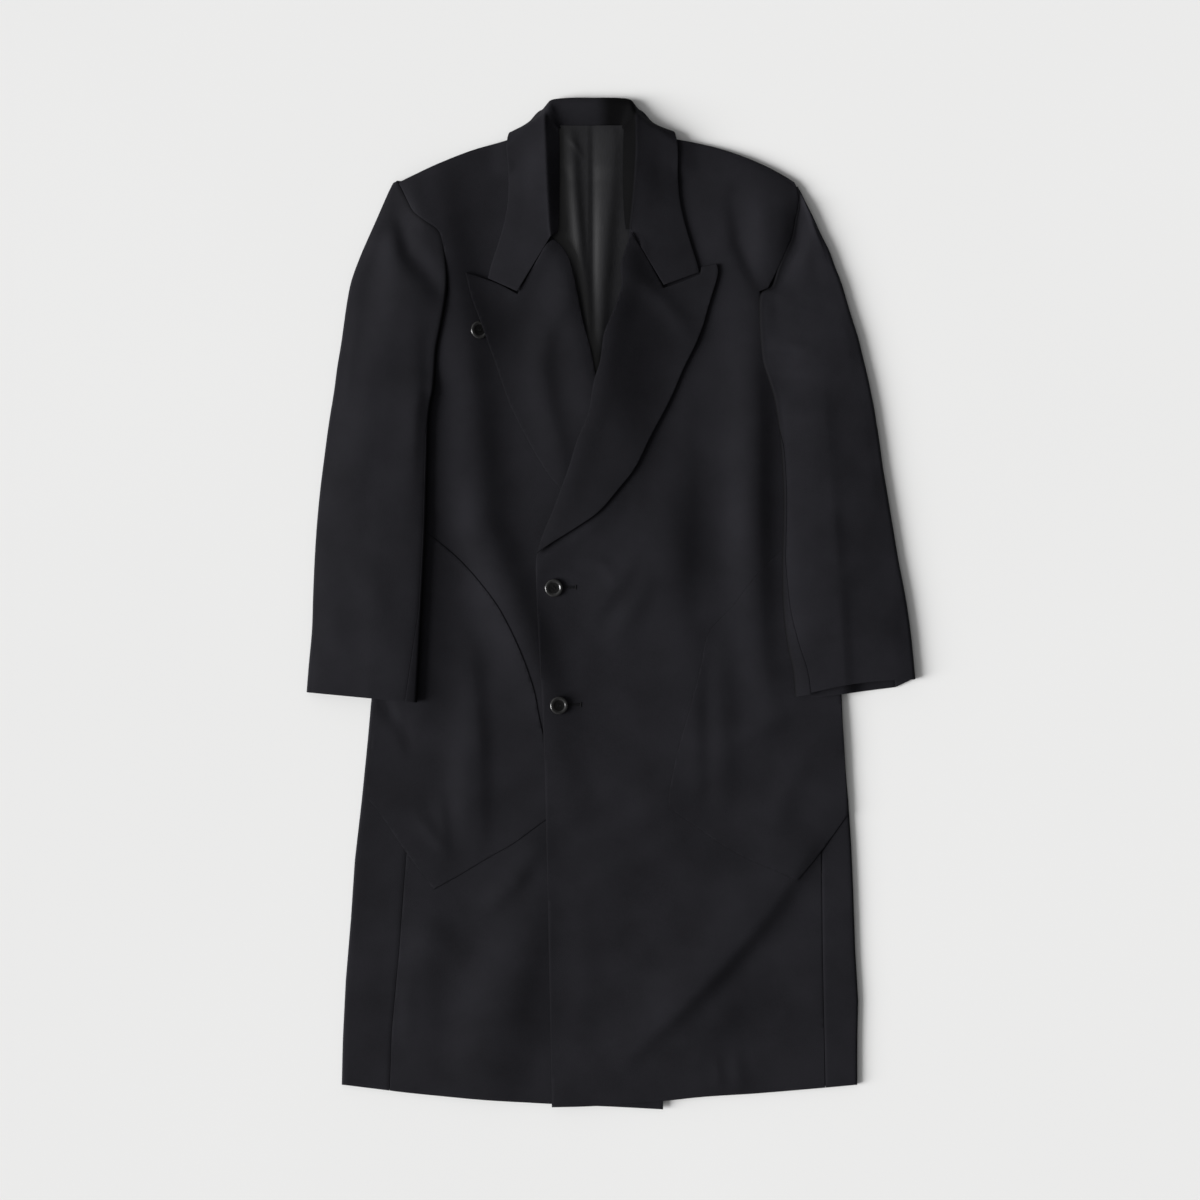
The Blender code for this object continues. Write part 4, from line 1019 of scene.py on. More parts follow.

# How far round the inner fold painted shade darkens the cloth, and how far the left cuff's
# under layer hangs below the top one.
FOLD_SHADE_REACH = 3.7
CUFF_DIP = 4.2
CUFF_DIP_OUTER = 2.1
CUFF_DIP_FADE = 30.0
CUFF_BOW = 5.0

# How much less the top sleeve reaches under at the cuff, over how many lines, and the
# largest part of a line that it takes.
CUFF_REACH_LESS = 18.0
CUFF_REACH_LINES = 8.0
UNDER_MOST = 0.4

# Lines across each sleeve from the cuff to the shoulder: inner point, outer point,
# distance from the inner edge to the front seam.
SLEEVE_RIGHT = (
    (-222.0, -113.9, -349.6, -102.4, 14.0), (-220.3, -82.0, -347.3, -73.0, 11.0),
    (-218.0, -40.0, -343.5, -31.0, 7.0), (-215.8, 2.0, -342.2, 8.0, 3.0),
    (-213.5, 45.0, -340.4, 50.0, 2.0), (-211.6, 88.0, -337.8, 90.0, 2.0),
    (-210.5, 130.0, -334.0, 130.0, 2.0), (-209.3, 172.0, -329.2, 168.0, 2.0),
    (-208.5, 205.0, -325.4, 197.0, 2.0), (-206.0, 228.0, -322.2, 218.0, 2.0),
    (-202.5, 244.0, -320.0, 231.0, 0.0), (-201.0, 264.0, -317.5, 247.0, 0.0),
    (-199.0, 292.0, -314.5, 270.0, 0.0), (-193.0, 322.0, -310.0, 297.0, 0.0),
    (-188.5, 348.0, -306.5, 322.0, 0.0), (-187.5, 372.0, -303.0, 346.0, 0.0),
    (-191.0, 398.0, -298.0, 370.0, 0.0), (-197.0, 424.0, -288.5, 396.0, 0.0),
    (-213.0, 437.0, -279.5, 417.0, 0.0), (-226.5, 448.0, -271.0, 436.0, 0.0),
    (-235.0, 463.0, -262.7, 455.0, 0.0), (-242.0, 477.0, -255.5, 471.0, 0.0),
    (-245.6, 484.2, -250.4, 481.6, 0.0),
)
SLEEVE_LEFT = (
    (210.3, -107.5, 349.6, -87.4, 19.0), (208.0, -78.0, 347.2, -62.0, 17.0),
    (202.0, -50.0, 343.8, -30.0, 14.0), (197.2, -10.0, 338.1, 8.0, 9.0),
    (196.0, 37.0, 330.0, 50.0, 5.0), (196.8, 75.0, 324.2, 85.0, 2.0),
    (197.6, 118.0, 318.0, 122.0, 2.0), (196.2, 155.0, 312.5, 155.0, 2.0),
    (193.6, 190.0, 308.6, 183.0, 2.0), (189.8, 218.0, 305.0, 206.0, 2.0),
    (186.0, 238.0, 302.5, 222.0, 0.0), (180.0, 258.0, 299.0, 240.0, 0.0),
    (173.7, 278.0, 295.2, 258.0, 0.0), (170.8, 306.0, 289.8, 280.0, 0.0),
    (169.6, 334.0, 284.0, 304.0, 0.0), (171.5, 354.5, 277.0, 326.0, 0.0),
    (184.8, 362.8, 271.0, 346.0, 0.0), (193.0, 384.0, 265.0, 366.0, 0.0),
    (201.0, 403.0, 257.2, 386.0, 0.0), (208.2, 420.0, 250.5, 404.0, 0.0),
    (212.0, 440.0, 240.8, 423.0, 0.0), (215.5, 456.0, 232.4, 441.0, 0.0),
    (216.0, 468.0, 224.2, 457.0, 0.0), (213.4, 478.0, 217.4, 470.6, 0.0),
)
SLEEVE_FOLDS_RIGHT = (
    (((-246.0, 440.0), (-236.0, 401.0), (-221.0, 372.0)), 9.0, -1.6),
    (((-280.0, 314.0), (-282.0, 210.0), (-298.0, 96.0)), (22.0, 20.0), 2.6),
    (((-225.0, 314.0), (-221.0, 234.0), (-226.0, 153.0)), (14.0, 10.0), 1.8),
    (((-300.0, 60.0), (-270.0, 20.0), (-262.0, -40.0)), 18.0, 1.6),
    (((-318.0, 0.0), (-312.0, -60.0)), 14.0, 1.0),
)
SLEEVE_FOLDS_LEFT = (
    (((236.0, 440.0), (230.0, 405.0), (214.0, 376.0)), (9.0, 16.0), 1.4),
    (((230.0, 291.0), (205.0, 296.0), (186.0, 294.0)), 7.0, 1.4),
    (((235.0, 256.0), (238.0, 160.0), (240.0, 95.0)), (18.0, 40.0), 1.2),
    (((300.0, 190.0), (268.0, 165.0), (240.0, 160.0)), 16.0, 1.2),
    (((300.0, 60.0), (262.0, 24.0), (236.0, -20.0)), 16.0, 1.6),
    (((326.0, -20.0), (300.0, -50.0)), 16.0, 1.0),
)


def through(rows, steps):
    """A smooth curve through rows of values, read at steps counted in rows."""
    rows = np.asarray(rows, float)
    n = np.clip(np.floor(steps).astype(int), 0, len(rows) - 2)
    t = (steps - n).reshape((-1,) + (1,) * (rows.ndim - 1))
    a, b = rows[np.maximum(n - 1, 0)], rows[n]
    c, d = rows[n + 1], rows[np.minimum(n + 2, len(rows) - 1)]
    curve = (c - a) * t + (2 * a - 5 * b + 4 * c - d) * t**2
    return b + 0.5 * (curve + (3 * b - a - 3 * c + d) * t**3)


def sleeve_line(table, step):
    """A line across a sleeve: its inner point, its direction, its length, its seam."""
    xi, yi, xo, yo, seam = through(table, np.array([step]))[0]
    length = math.hypot(xo - xi, yo - yi)
    return xi, yi, (xo - xi) / length, (yo - yi) / length, length, seam


def sleeve_bed(x, y, side, patch, toward):
    """What a sleeve lies on: the floor, and inward of the side fold the coat's front."""
    inward = toward * (across_at(side, y) - x)
    height = base(x, y) + BODY_WALL + SLEEVE_AIR
    height = height + cover(patch, x, y) * (POCKET_WALL + AIR)
    return height * soft_step((inward + CLIMB_START) / CLIMB_WIDTH)


def round_fold(arc, radius, edge):
    """Where a cloth is that far round the sleeve's inner fold: distance in, height."""
    angle = np.minimum(arc / radius, math.pi / 2)
    over = np.maximum(arc - radius * math.pi / 2, 0.0)
    return edge - radius * np.cos(angle) + over, radius * (np.sin(angle) - 1.0)


def painted_fold_shade(arc):
    """How much painted shade darkens the cloth that far round the inner fold."""
    return np.exp(-((np.maximum(arc, 0.0) / FOLD_SHADE_REACH) ** 2))


def seam_arc(step, seam, edge):
    """How far round the inner fold the front seam lies. It turns under at the armpit."""
    on_top = SLEEVE_FOLD * math.pi / 2 + max(seam, edge) - edge
    turned = float(soft_step((step - TUBE_LAST + UNDER_STARTS) / UNDER_FADE))
    return on_top + (SEAM_UNDER - on_top) * turned


def outer_fold(length):
    """Half the height of the outer fold, less where the sleeve narrows to its end."""
    return min(OUTER_FOLD, length * FOLD_SHARE)


def away(distance, reach):
    """0 at an edge, rising softly to 1 with the distance from it."""
    return 1.0 - np.exp(-np.maximum(distance, 0.0) / reach)


def upper_side(q, x, y, seat, edge, length, tube, side, patch, folds, toward):
    """Height of the sleeve's upper side where it is q out from the inner edge."""
    half = SLEEVE_WALL / 2
    fold = outer_fold(length)
    end = length - fold - half
    short = min(1.0, length / SHORT_LINE)
    along = np.clip((q - edge) / (end - edge), 0.0, 1.0)
    z = seat + (half + 2 * fold - seat) * (0.7 * along + 0.3 * soft_step(along))
    full = SLEEVE_FULL * short**2 * (1.0 - TUBE_LESS * tube)
    z = z + full * np.sin(math.pi * along) ** (1.7 - 0.7 * tube)
    plump = (PLUMP - PLUMP_LESS_AT_LEFT * toward) * short
    plump_inner = PLUMP_INNER - PLUMP_INNER_LESS * tube
    z = z + plump * away(q - edge, plump_inner) * away(end - q, PLUMP_OUTER)
    lift = soft_step(along / CREASES_START) * soft_step((1.0 - along) / CREASES_START)
    z = z + (creases(folds, x, y) + SLEEVE_WAVES * uneven(x, y)) * lift
    lowest = sleeve_bed(x, y, side, patch, toward) + half + 2 * SLEEVE_FOLD
    ease = HELD_SOFTLY * away(q - edge, HELD_FROM_EDGE) * away(end - q, HELD_FROM_EDGE)
    held = (z + lowest + np.sqrt((z - lowest) ** 2 + ease**2)) / 2.0
    return z + (held - z) * tube


def under_reach(step, length):
    """How far the top sleeve reaches under at its outer edge: less toward the cuff."""
    near_cuff = 1.0 - float(soft_step(step / CUFF_REACH_LINES))
    return min(SLEEVE_UNDER - CUFF_REACH_LESS * near_cuff, UNDER_MOST * length)


def cuff_dip(q, length, step):
    """How far the left cuff's under layer shows below the top one."""
    inner = soft_step(np.asarray(q) / CUFF_DIP_FADE)
    dip = CUFF_DIP + CUFF_DIP_OUTER * np.asarray(q) / length
    return dip * inner * max(0.0, 1.0 - step)


def top_sleeve(side_name, table, side, patch, over_last, folds, toward, tone):
    half = SLEEVE_WALL / 2
    turn = np.radians(np.linspace(FOLD_TURN, -FOLD_TURN, 7))
    back = np.linspace(0.0, 1.0, FLOOR_POINTS)
    lines, fold_shades = [], []
    for step in np.arange(0.0, len(table) - 1 + 1e-6, SLEEVE_STEP):
        xi, yi, ux, uy, length, seam = sleeve_line(table, step)
        tube = 1.0 - float(soft_step((step - TUBE_LAST) / CAP_FADE))
        over = 1.0 - float(soft_step((step - over_last) / SEAM_FADE))
        fold = outer_fold(length)
        end = length - fold - half
        bend = TIGHT_BEND + (SLEEVE_FOLD - TIGHT_BEND) * over
        edge = (SLEEVE_FOLD + half) * over - ARMHOLE_TUCK * (1.0 - over)
        begin = seam_arc(step, seam, edge) + SEAM / 2
        arc = begin + np.linspace(0.0, 1.0, 9) ** 1.15 * min(ROUND_REACH, 0.3 * length)
        q, drop = round_fold(arc, bend, edge)
        inner = np.array([xi + ux * edge * over]), np.array([yi + uy * edge * over])
        seat = float(base(*inner)[0]) + half - ARMHOLE_SINK + over * (BODY_WALL + OVER_RISE)
        on_coat = float(sleeve_bed(*inner, side, patch, toward)[0]) + half + 2 * SLEEVE_FOLD
        seat += (on_coat - seat) * tube
        q = np.concatenate((q, np.linspace(q[-1], end, 34)[1:]))
        x, y = xi + ux * q, yi + uy * q
        z = upper_side(q, x, y, seat, edge, length, tube, side, patch, folds, toward)
        shared = creases(SHOULDER_FOLDS, x, y) - creases(SHOULDER_FOLDS, *inner)
        fading = soft_step((end - q) / min(30.0, 0.4 * length))
        z = z + shared * fading * (1.0 - tube) * min(1.0, length / SHORT_CAP)
        z[:len(arc)] += drop
        if toward > 0 and step < 1.0:
            y = y + CUFF_BOW * np.sin(math.pi * q / length) * (1.0 - step)
        rim = end + fold * np.cos(turn)
        under = under_reach(step, length)
        q = end - (under - fold - half) * back
        dip = cuff_dip(length - under, length, step) if toward > 0 else 0.0
        x = np.concatenate((x, xi + ux * rim, xi + ux * q))
        y = np.concatenate((y, yi + uy * rim, yi + uy * q - dip * back))
        z = np.concatenate((z, half + fold * (1.0 + np.sin(turn)), np.full(len(back), half)))
        row = np.stack((x, y, z), axis=1)
        # Painted shade round the inner fold, whose rounded edge would otherwise catch the
        # light.
        rolled = np.zeros(len(x))
        rolled[:len(arc)] = painted_fold_shade(arc) * (0.6 + 0.4 * over)
        lines.append(row if toward > 0 else row[::-1])
        fold_shades.append(rolled if toward > 0 else rolled[::-1])
    name = "top_sleeve_" + side_name
    piece = drape(name + "_cloth", np.array(lines), SLEEVE_WALL, painted_shade=np.array(fold_shades))
    piece.data.materials.append(twill(name + "_wool", 0.1 * toward, tone))
    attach(piece, "root")
    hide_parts(name)


top_sleeve("right", SLEEVE_RIGHT, SIDE_RIGHT, POCKET_RIGHT, 14.0, SLEEVE_FOLDS_RIGHT,
           -1.0, 0.93)
top_sleeve("left", SLEEVE_LEFT, SIDE_LEFT, POCKET_LEFT, 15.0, SLEEVE_FOLDS_LEFT,
           1.0, 1.13)


def armhole_stop(begin, xi, yi, ux, uy, side, armhole, toward):
    """How far out from the inner edge the under sleeve stops, above the tube."""
    scan = np.arange(begin, 0.0, -0.5)
    x, y = xi + ux * scan, yi + uy * scan
    limit = np.where(y > ARMPIT + 4.0, across_at(armhole, y), across_at(side, y))
    stops = np.flatnonzero(toward * (x - limit) <= 2.0)
    return float(scan[stops[0]]) if len(stops) else begin


def under_sleeve(side_name, table, side, patch, folds, armhole, toward):
    """The narrow under sleeve: on the floor, then up over the coat and round the fold."""
    half = SLEEVE_WALL / 2
    edge = SLEEVE_FOLD + half
    lowest = -SLEEVE_FOLD * math.radians(FOLD_TURN)
    lines, fold_shades, tubes = [], [], []
    hole_rows = [(y, x) for x, y in armhole]
    for step in np.arange(0.0, len(table) - 3 + 1e-6, SLEEVE_STEP):
        xi, yi, ux, uy, length, seam = sleeve_line(table, step)
        tube = step <= TUBE_LAST + 1e-6
        begin = length - under_reach(step, length) - SEAM
        if tube:
            beside = float(across_at(side, yi + uy * length * 0.5))
            inner = (beside + toward * 30.0 - xi) / ux
        else:
            inner = armhole_stop(begin, xi, yi, ux, uy, side, hole_rows, toward)
        inner = min(inner, begin - 1.5)
        q = np.linspace(begin, inner, FLOOR_POINTS)
        climb = np.linspace(inner, edge, 18)[1:] if tube else np.full(17, inner)
        y, cx, cy = yi + uy * q, xi + ux * climb, yi + uy * climb
        if toward > 0:
            y = y - cuff_dip(q, length, step)
            cy = cy - cuff_dip(climb, length, step)
        bed = sleeve_bed(cx, cy, side, patch, toward) + half
        last = seam_arc(step, seam, edge) - SEAM / 2
        arc = lowest + (last - lowest) * np.linspace(0.0, 1.0, 11)
        round_q, drop = round_fold(arc, SLEEVE_FOLD, edge)
        rx, ry = xi + ux * round_q, yi + uy * round_q
        top = upper_side(round_q, rx, ry, bed[-1] + 2 * SLEEVE_FOLD, edge, length, 1.0,
                         side, patch, folds, toward)
        x = np.concatenate((xi + ux * q, cx, rx))
        y = np.concatenate((y, cy, ry))
        z = np.concatenate((np.full(FLOOR_POINTS, half), bed, top + drop))
        row = np.stack((x, y, z), axis=1)
        # Painted shade round the inner fold, whose rounded edge would otherwise catch the
        # light.
        rolled = np.zeros(len(x))
        rolled[-len(arc):] = painted_fold_shade(arc)
        lines.append(row if toward < 0 else row[::-1])
        fold_shades.append(rolled if toward < 0 else rolled[::-1])
        tubes.append(tube)
    points = np.array(lines)
    tall, wide = points.shape[:2]
    gone = np.zeros((tall - 1, wide - 1), bool)
    past = ~np.array(tubes[1:])
    if toward < 0:
        gone[past, FLOOR_POINTS - 1:] = True
    else:
        gone[past, :wide - FLOOR_POINTS] = True
    name = "under_sleeve_" + side_name
    piece = drape(name + "_cloth", points, SLEEVE_WALL, gone, np.array(fold_shades))
    piece.data.materials.append(twill(name + "_wool", 0.1 * toward))
    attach(piece, "root")
    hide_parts(name)


under_sleeve("right", SLEEVE_RIGHT, SIDE_RIGHT, POCKET_RIGHT, SLEEVE_FOLDS_RIGHT,
             BACK_TOP_RIGHT[:7], -1.0)
under_sleeve("left", SLEEVE_LEFT, SIDE_LEFT, POCKET_LEFT, SLEEVE_FOLDS_LEFT,
             BACK_TOP_LEFT[:7], 1.0)


# The collar: one folded piece of wool and canvas, with its stand at the neck and its fall
# over both shoulders. Steam shrinks its roll, so it stands up softly and drops at the ends.

COLLAR_WALL = 2.4
COLLAR_STEP = 0.2
LINES_BETWEEN = 7
SMOOTHINGS = 4
STAND_ENDS = 17.0
FALL_STARTS = 22
COLLAR_AIR = 0.5

# Air under the fall's edge and under its turn, how far the seam is up in the neck's
# layers at the sides and at the back, and where along y it runs there.
EDGE_AIR = 0.7
TURN_AIR = 0.9
NECK_RISE = 1.0
BACK_RISE = 1.6
BACK_NECK_Y = 546.0

# The roll is round between a point before it and one after it: how far off they are, how
# much farther at the back of the neck, and how much lower than its top. At the back the
# fold lies flat, so there the first is half its height above the roll, the second below.
BEFORE_ROLL = 3.0
BEFORE_MORE = 2.4
AFTER_ROLL = 4.0
AFTER_MORE = 1.4
BEFORE_LOWER = 1.6
AFTER_LOWER = 0.8
LYING_HALF = 4.1

# From the right point round the neck to the left one. Each row runs from the neck seam
# over the roll and a turning point to the outer edge: neck x, y; roll x, y, z;
# turn x, y, z; edge x, y, z. A height of None rests on the front.
COLLAR_ROWS = (
    (-61.6, 425.5, -69.0, 419.8, 17.8, -107.6, 357.2, None, -141.1, 372.4, None),
    (-60.6, 436.0, -70.7, 433.6, 18.2, -104.7, 396.8, None, -136.9, 388.7, None),
    (-60.2, 454.0, -71.9, 452.0, 18.6, -102.4, 423.2, None, -130.0, 409.4, None),
    (-60.0, 475.0, -73.0, 472.7, 19.0, -98.9, 449.7, None, -123.1, 432.4, None),
    (-59.8, 497.0, -73.9, 495.7, 20.0, -97.8, 475.0, None, -118.1, 460.0, None),
    (-59.8, 519.0, -74.8, 518.7, 20.0, -98.9, 500.3, None, -117.3, 488.8, None),
    (-60.0, 534.0, -75.7, 539.4, 19.0, -100.0, 525.6, None, -119.0, 513.2, None),
    (-60.4, 539.0, -76.0, 551.0, 17.0, -100.4, 540.4, None, -119.6, 525.4, None),
    (-60.2, 543.0, -75.6, 557.6, 15.0, -99.0, 547.0, 9.0, -115.6, 539.4, 6.0),
    (-59.0, 544.4, -74.8, 563.4, 12.0, -94.2, 551.8, 2.2, -106.0, 524.0, 1.2),
    (-56.0, 545.8, -72.6, 571.4, 8.5, -80.2, 563.4, 1.8, -81.7, 514.0, 1.2),
    (-50.0, 547.0, -66.6, 577.4, 6.0, -64.0, 549.7, 1.2, -58.0, 512.5, 1.2),
    (-38.0, 547.0, -44.9, 579.5, 5.4, -42.6, 549.7, 1.2, -39.1, 512.9, 1.2),
    (-21.9, 547.0, -21.9, 579.5, 5.4, -21.9, 549.7, 1.2, -21.9, 513.5, 1.2),
    (-6.0, 547.0, 1.2, 579.5, 5.4, -1.2, 549.7, 1.2, -4.6, 512.9, 1.2),
    (5.0, 547.0, 20.2, 577.8, 6.0, 18.0, 549.7, 1.2, 12.4, 512.5, 1.2),
    (11.0, 545.8, 25.6, 571.8, 8.5, 33.4, 563.4, 1.8, 39.1, 514.0, 1.2),
    (13.6, 544.4, 28.0, 563.4, 12.0, 47.0, 551.8, 2.2, 60.0, 524.0, 1.2),
    (14.6, 543.0, 28.6, 557.6, 15.0, 52.4, 547.0, 9.0, 70.8, 540.4, 6.0),
    (15.0, 539.0, 28.8, 551.0, 17.0, 57.0, 540.4, None, 75.4, 529.0, None),
    (14.8, 534.0, 28.8, 539.4, 19.0, 55.2, 525.6, None, 76.6, 514.0, None),
    (14.4, 519.0, 28.8, 518.7, 20.0, 54.0, 500.3, None, 76.5, 491.0, None),
    (14.2, 497.0, 27.6, 496.0, 20.0, 55.2, 475.0, None, 78.2, 466.0, None),
    (14.4, 475.0, 25.9, 473.0, 19.0, 56.4, 452.0, None, 83.2, 440.0, None),
    (15.2, 454.0, 24.2, 452.0, 18.0, 59.8, 425.0, None, 90.7, 414.0, None),
    (16.4, 438.0, 22.6, 437.0, 17.0, 61.0, 399.0, None, 97.4, 393.0, None),
    (17.6, 428.0, 21.9, 428.0, 16.0, 60.6, 364.6, None, 101.0, 379.4, None),
)


def at_point(floor, x, y):
    """A floor height at one point."""
    return float(floor(np.array([x]), np.array([y]))[0])


def collar_line(nx, ny, rx, ry, rz, tx, ty, tz, ex, ey, ez):
    """Nine points from the neck seam over the roll to the outer edge of the fall."""
    half = COLLAR_WALL / 2
    rests, out = (right_front_floor, -3.0) if rx < NECK_MIDDLE else (left_front_floor, 3.0)
    at_back = float(soft_step((16.0 - rz) / 8.0))
    neck_z = at_point(rests, nx + out, ny) + NECK_RISE
    seam_z = at_point(back_floor, nx, BACK_NECK_Y) + BACK_RISE
    neck_z += (seam_z - neck_z) * at_back
    edge_z = ez if ez is not None else at_point(rests, ex, ey) + BODY_WALL + EDGE_AIR + half
    turn_low = at_point(rests, tx, ty) + BODY_WALL + TURN_AIR + half
    turn_z = tz if tz is not None else max(turn_low, 0.3 * rz + 0.7 * edge_z + 0.5)
    neck, roll = np.array((nx, ny)), np.array((rx, ry))
    turn, rim = np.array((tx, ty)), np.array((ex, ey))
    near, far = BEFORE_ROLL + BEFORE_MORE * at_back, AFTER_ROLL + AFTER_MORE * at_back
    before = roll + (neck - roll) / np.linalg.norm(neck - roll) * near
    after = roll + (turn - roll) / np.linalg.norm(turn - roll) * far
    before_z = rz - BEFORE_LOWER * (1.0 - at_back) + LYING_HALF * at_back
    after_z = rz - AFTER_LOWER * (1.0 - at_back) - LYING_HALF * at_back
    if ez is not None and ez < 2.0:
        after_z = max(after_z, half)
    return [
        (*neck, neck_z), (*((neck + before) / 2), (neck_z + before_z) / 2),
        (*before, before_z), (*roll, rz), (*after, after_z),
        (*((after + turn) / 2), (after_z + turn_z) / 2), (*turn, turn_z),
        (*((turn + rim) / 2), (turn_z + edge_z) / 2), (*rim, edge_z),
    ]


def collar():
    lines = np.array([collar_line(*row) for row in COLLAR_ROWS])
    lines = through(lines, np.arange(0.0, len(lines) - 1 + 1e-6, 1.0 / LINES_BETWEEN))
    columns = np.swapaxes(lines, 0, 1)
    last = len(columns) - 1
    steps = np.arange(0.0, last + 1e-6, COLLAR_STEP)
    low = np.clip(np.floor(steps).astype(int), 0, last - 1)
    part = (steps - low)[:, None, None]
    straight = columns[low] * (1.0 - part) + columns[low + 1] * part
    count = lines.shape[0]
    ends = np.minimum(np.arange(count), np.arange(count)[::-1])
    soft = soft_step(ends / 12.0)[None, :, None]
    points = np.swapaxes(straight * (1.0 - soft) + through(columns, steps) * soft, 0, 1)
    for _ in range(SMOOTHINGS):
        inner = 0.25 * points[:, :-2] + 0.5 * points[:, 1:-1] + 0.25 * points[:, 2:]
        ease = soft_step(ends / 10.0)[:, None, None]
        points[:, 1:-1] = points[:, 1:-1] * (1.0 - ease) + inner * ease
    x, y = points[:, :, 0], points[:, :, 1]
    across = np.arange(points.shape[1])[None, :]
    for outline, rests in ((RIGHT_FRONT, right_front_floor), (LEFT_FRONT, left_front_floor)):
        lowest = rests(x, y) + BODY_WALL + COLLAR_AIR + COLLAR_WALL / 2
        low = within(outline, x, y) & (across > FALL_STARTS) & (points[:, :, 2] < lowest)
        points[:, :, 2] = np.where(low, lowest, points[:, :, 2])
    # Painted shade on the inside of the stand, on the collar's left half, where the neck lies
    # in shadow.
    stand = soft_step((STAND_ENDS - across) / 4.0)
    inside = stand * soft_step((x - NECK_MIDDLE) / 20.0)
    piece = drape("collar_cloth", points[:, ::-1], COLLAR_WALL, painted_shade=inside[:, ::-1])
    piece.data.materials.append(twill("collar_wool", 0.7, 0.95))
    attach(piece, "root")
    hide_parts("collar")


collar()


# The buttons: black horn, turned on a lathe with a raised rim round a dish, drilled with
# four holes and sewn on with black thread. Each stands on the cloth on a short shank.

BUTTONS_LEFT_FRONT = ((-65.6, 17.3), (-59.8, -117.3))
BUTTON_PROFILE = (
    (0.0, 0.0), (8.4, 0.0), (9.6, 0.35), (10.3, 1.0), (10.5, 1.7), (10.3, 2.4),
    (9.8, 3.0), (9.1, 3.35), (8.3, BUTTON_HEIGHT), (7.5, 3.15), (6.9, 2.7), (6.3, 2.3),
    (5.6, 2.15),
)
DISH_RADIUS = 6.5
HOLE_RADIUS = 0.95
HOLE_PITCH = 1.9
HOLE_DEPTHS = (0.25, 1.2)
TURNED_STEPS = 48
HOLE_STEPS = 14

# Where round its middle the button feels the cloth under it, and the gap of its shank.
BUTTON_SEAT = 9.0
SHANK_GAP = 0.3

# The strands of thread: radius, half the distance of a pair, how far they are over the
# dish and how far their ends go down into the holes.
STRAND_RADIUS = 0.3
STRAND_APART = 0.32
STRAND_OVER = 0.28
STRAND_SINKS = 0.35

# The wound shank: radius at the cloth and under the button, height, and how far below the
# button's bottom its middle is. Then how much the threads' edges are rounded.
SHANK_FOOT = 1.7
SHANK_NECK = 1.4
SHANK_HEIGHT = 0.9
SHANK_BELOW = 0.1
THREAD_ROUND = 0.08


def horn(name, polish_and_highlight):
    """Black horn, faintly streaked: polished rim painted lighter, matt dish painted darker."""
    material, tree, shader, where = new_material(name)
    streaks = noise(tree, where, 240.0, 4.0, 1.5)
    # Painted light: with polish the colour is lighter, a painted highlight on the rim, and
    # without it darker, painted shade in the dish's hollow.
    dark, light = 0.0035 + 0.0055 * polish_and_highlight, 0.0095 + 0.0125 * polish_and_highlight
    colour = shades(tree, streaks, (dark, dark, dark), (light, 0.97 * light, light), 0.35, 0.8)
    tree.links.new(colour, shader.inputs["Base Color"])
    wear = between(tree, streaks, 0.60 - 0.44 * polish_and_highlight, 0.75 - 0.47 * polish_and_highlight)
    tree.links.new(wear, shader.inputs["Roughness"])
    shader.inputs["Coat Weight"].default_value = 0.25 * polish_and_highlight
    shader.inputs["Coat Roughness"].default_value = 0.12
    shader.inputs["Specular IOR Level"].default_value = 0.1 + 0.4 * polish_and_highlight
    return material


THREAD_DARK = (0.002, 0.002, 0.0024)
THREAD_LIGHT = (0.007, 0.007, 0.0082)


def thread(name):
    """Black buttonhole thread: twisted, with a slight silky shine."""
    material, tree, shader, where = new_material(name)
    twist = ribs(tree, where, 520.0, 0.6)
    colour = shades(tree, twist, THREAD_DARK, THREAD_LIGHT)
    tree.links.new(colour, shader.inputs["Base Color"])
    relief(tree, shader, twist, 0.5, 0.0002)
    shader.inputs["Roughness"].default_value = 0.6
    shader.inputs["Specular IOR Level"].default_value = 0.15
    return material


def upright(along):
    """The turn that points +Z along a direction."""
    return along.to_track_quat("Z", "Y").to_matrix().to_4x4()


def button_seat(x, y, rests):
    """Where a button sits: leaning with the cloth, its shank's gap above it."""
    east, west, north, south = rests(
        np.array((x + BUTTON_SEAT, x - BUTTON_SEAT, x, x)),
        np.array((y, y, y + BUTTON_SEAT, y - BUTTON_SEAT)))
    wide = 2 * BUTTON_SEAT
    lean = Vector(((west - east) / wide, (south - north) / wide, 1.0))
    bottom = (east + west + north + south) / 4.0 + BODY_WALL + SEAM + SHANK_GAP
    return Matrix.Scale(MM, 4) @ (Matrix.Translation((x, y, bottom)) @ upright(lean))


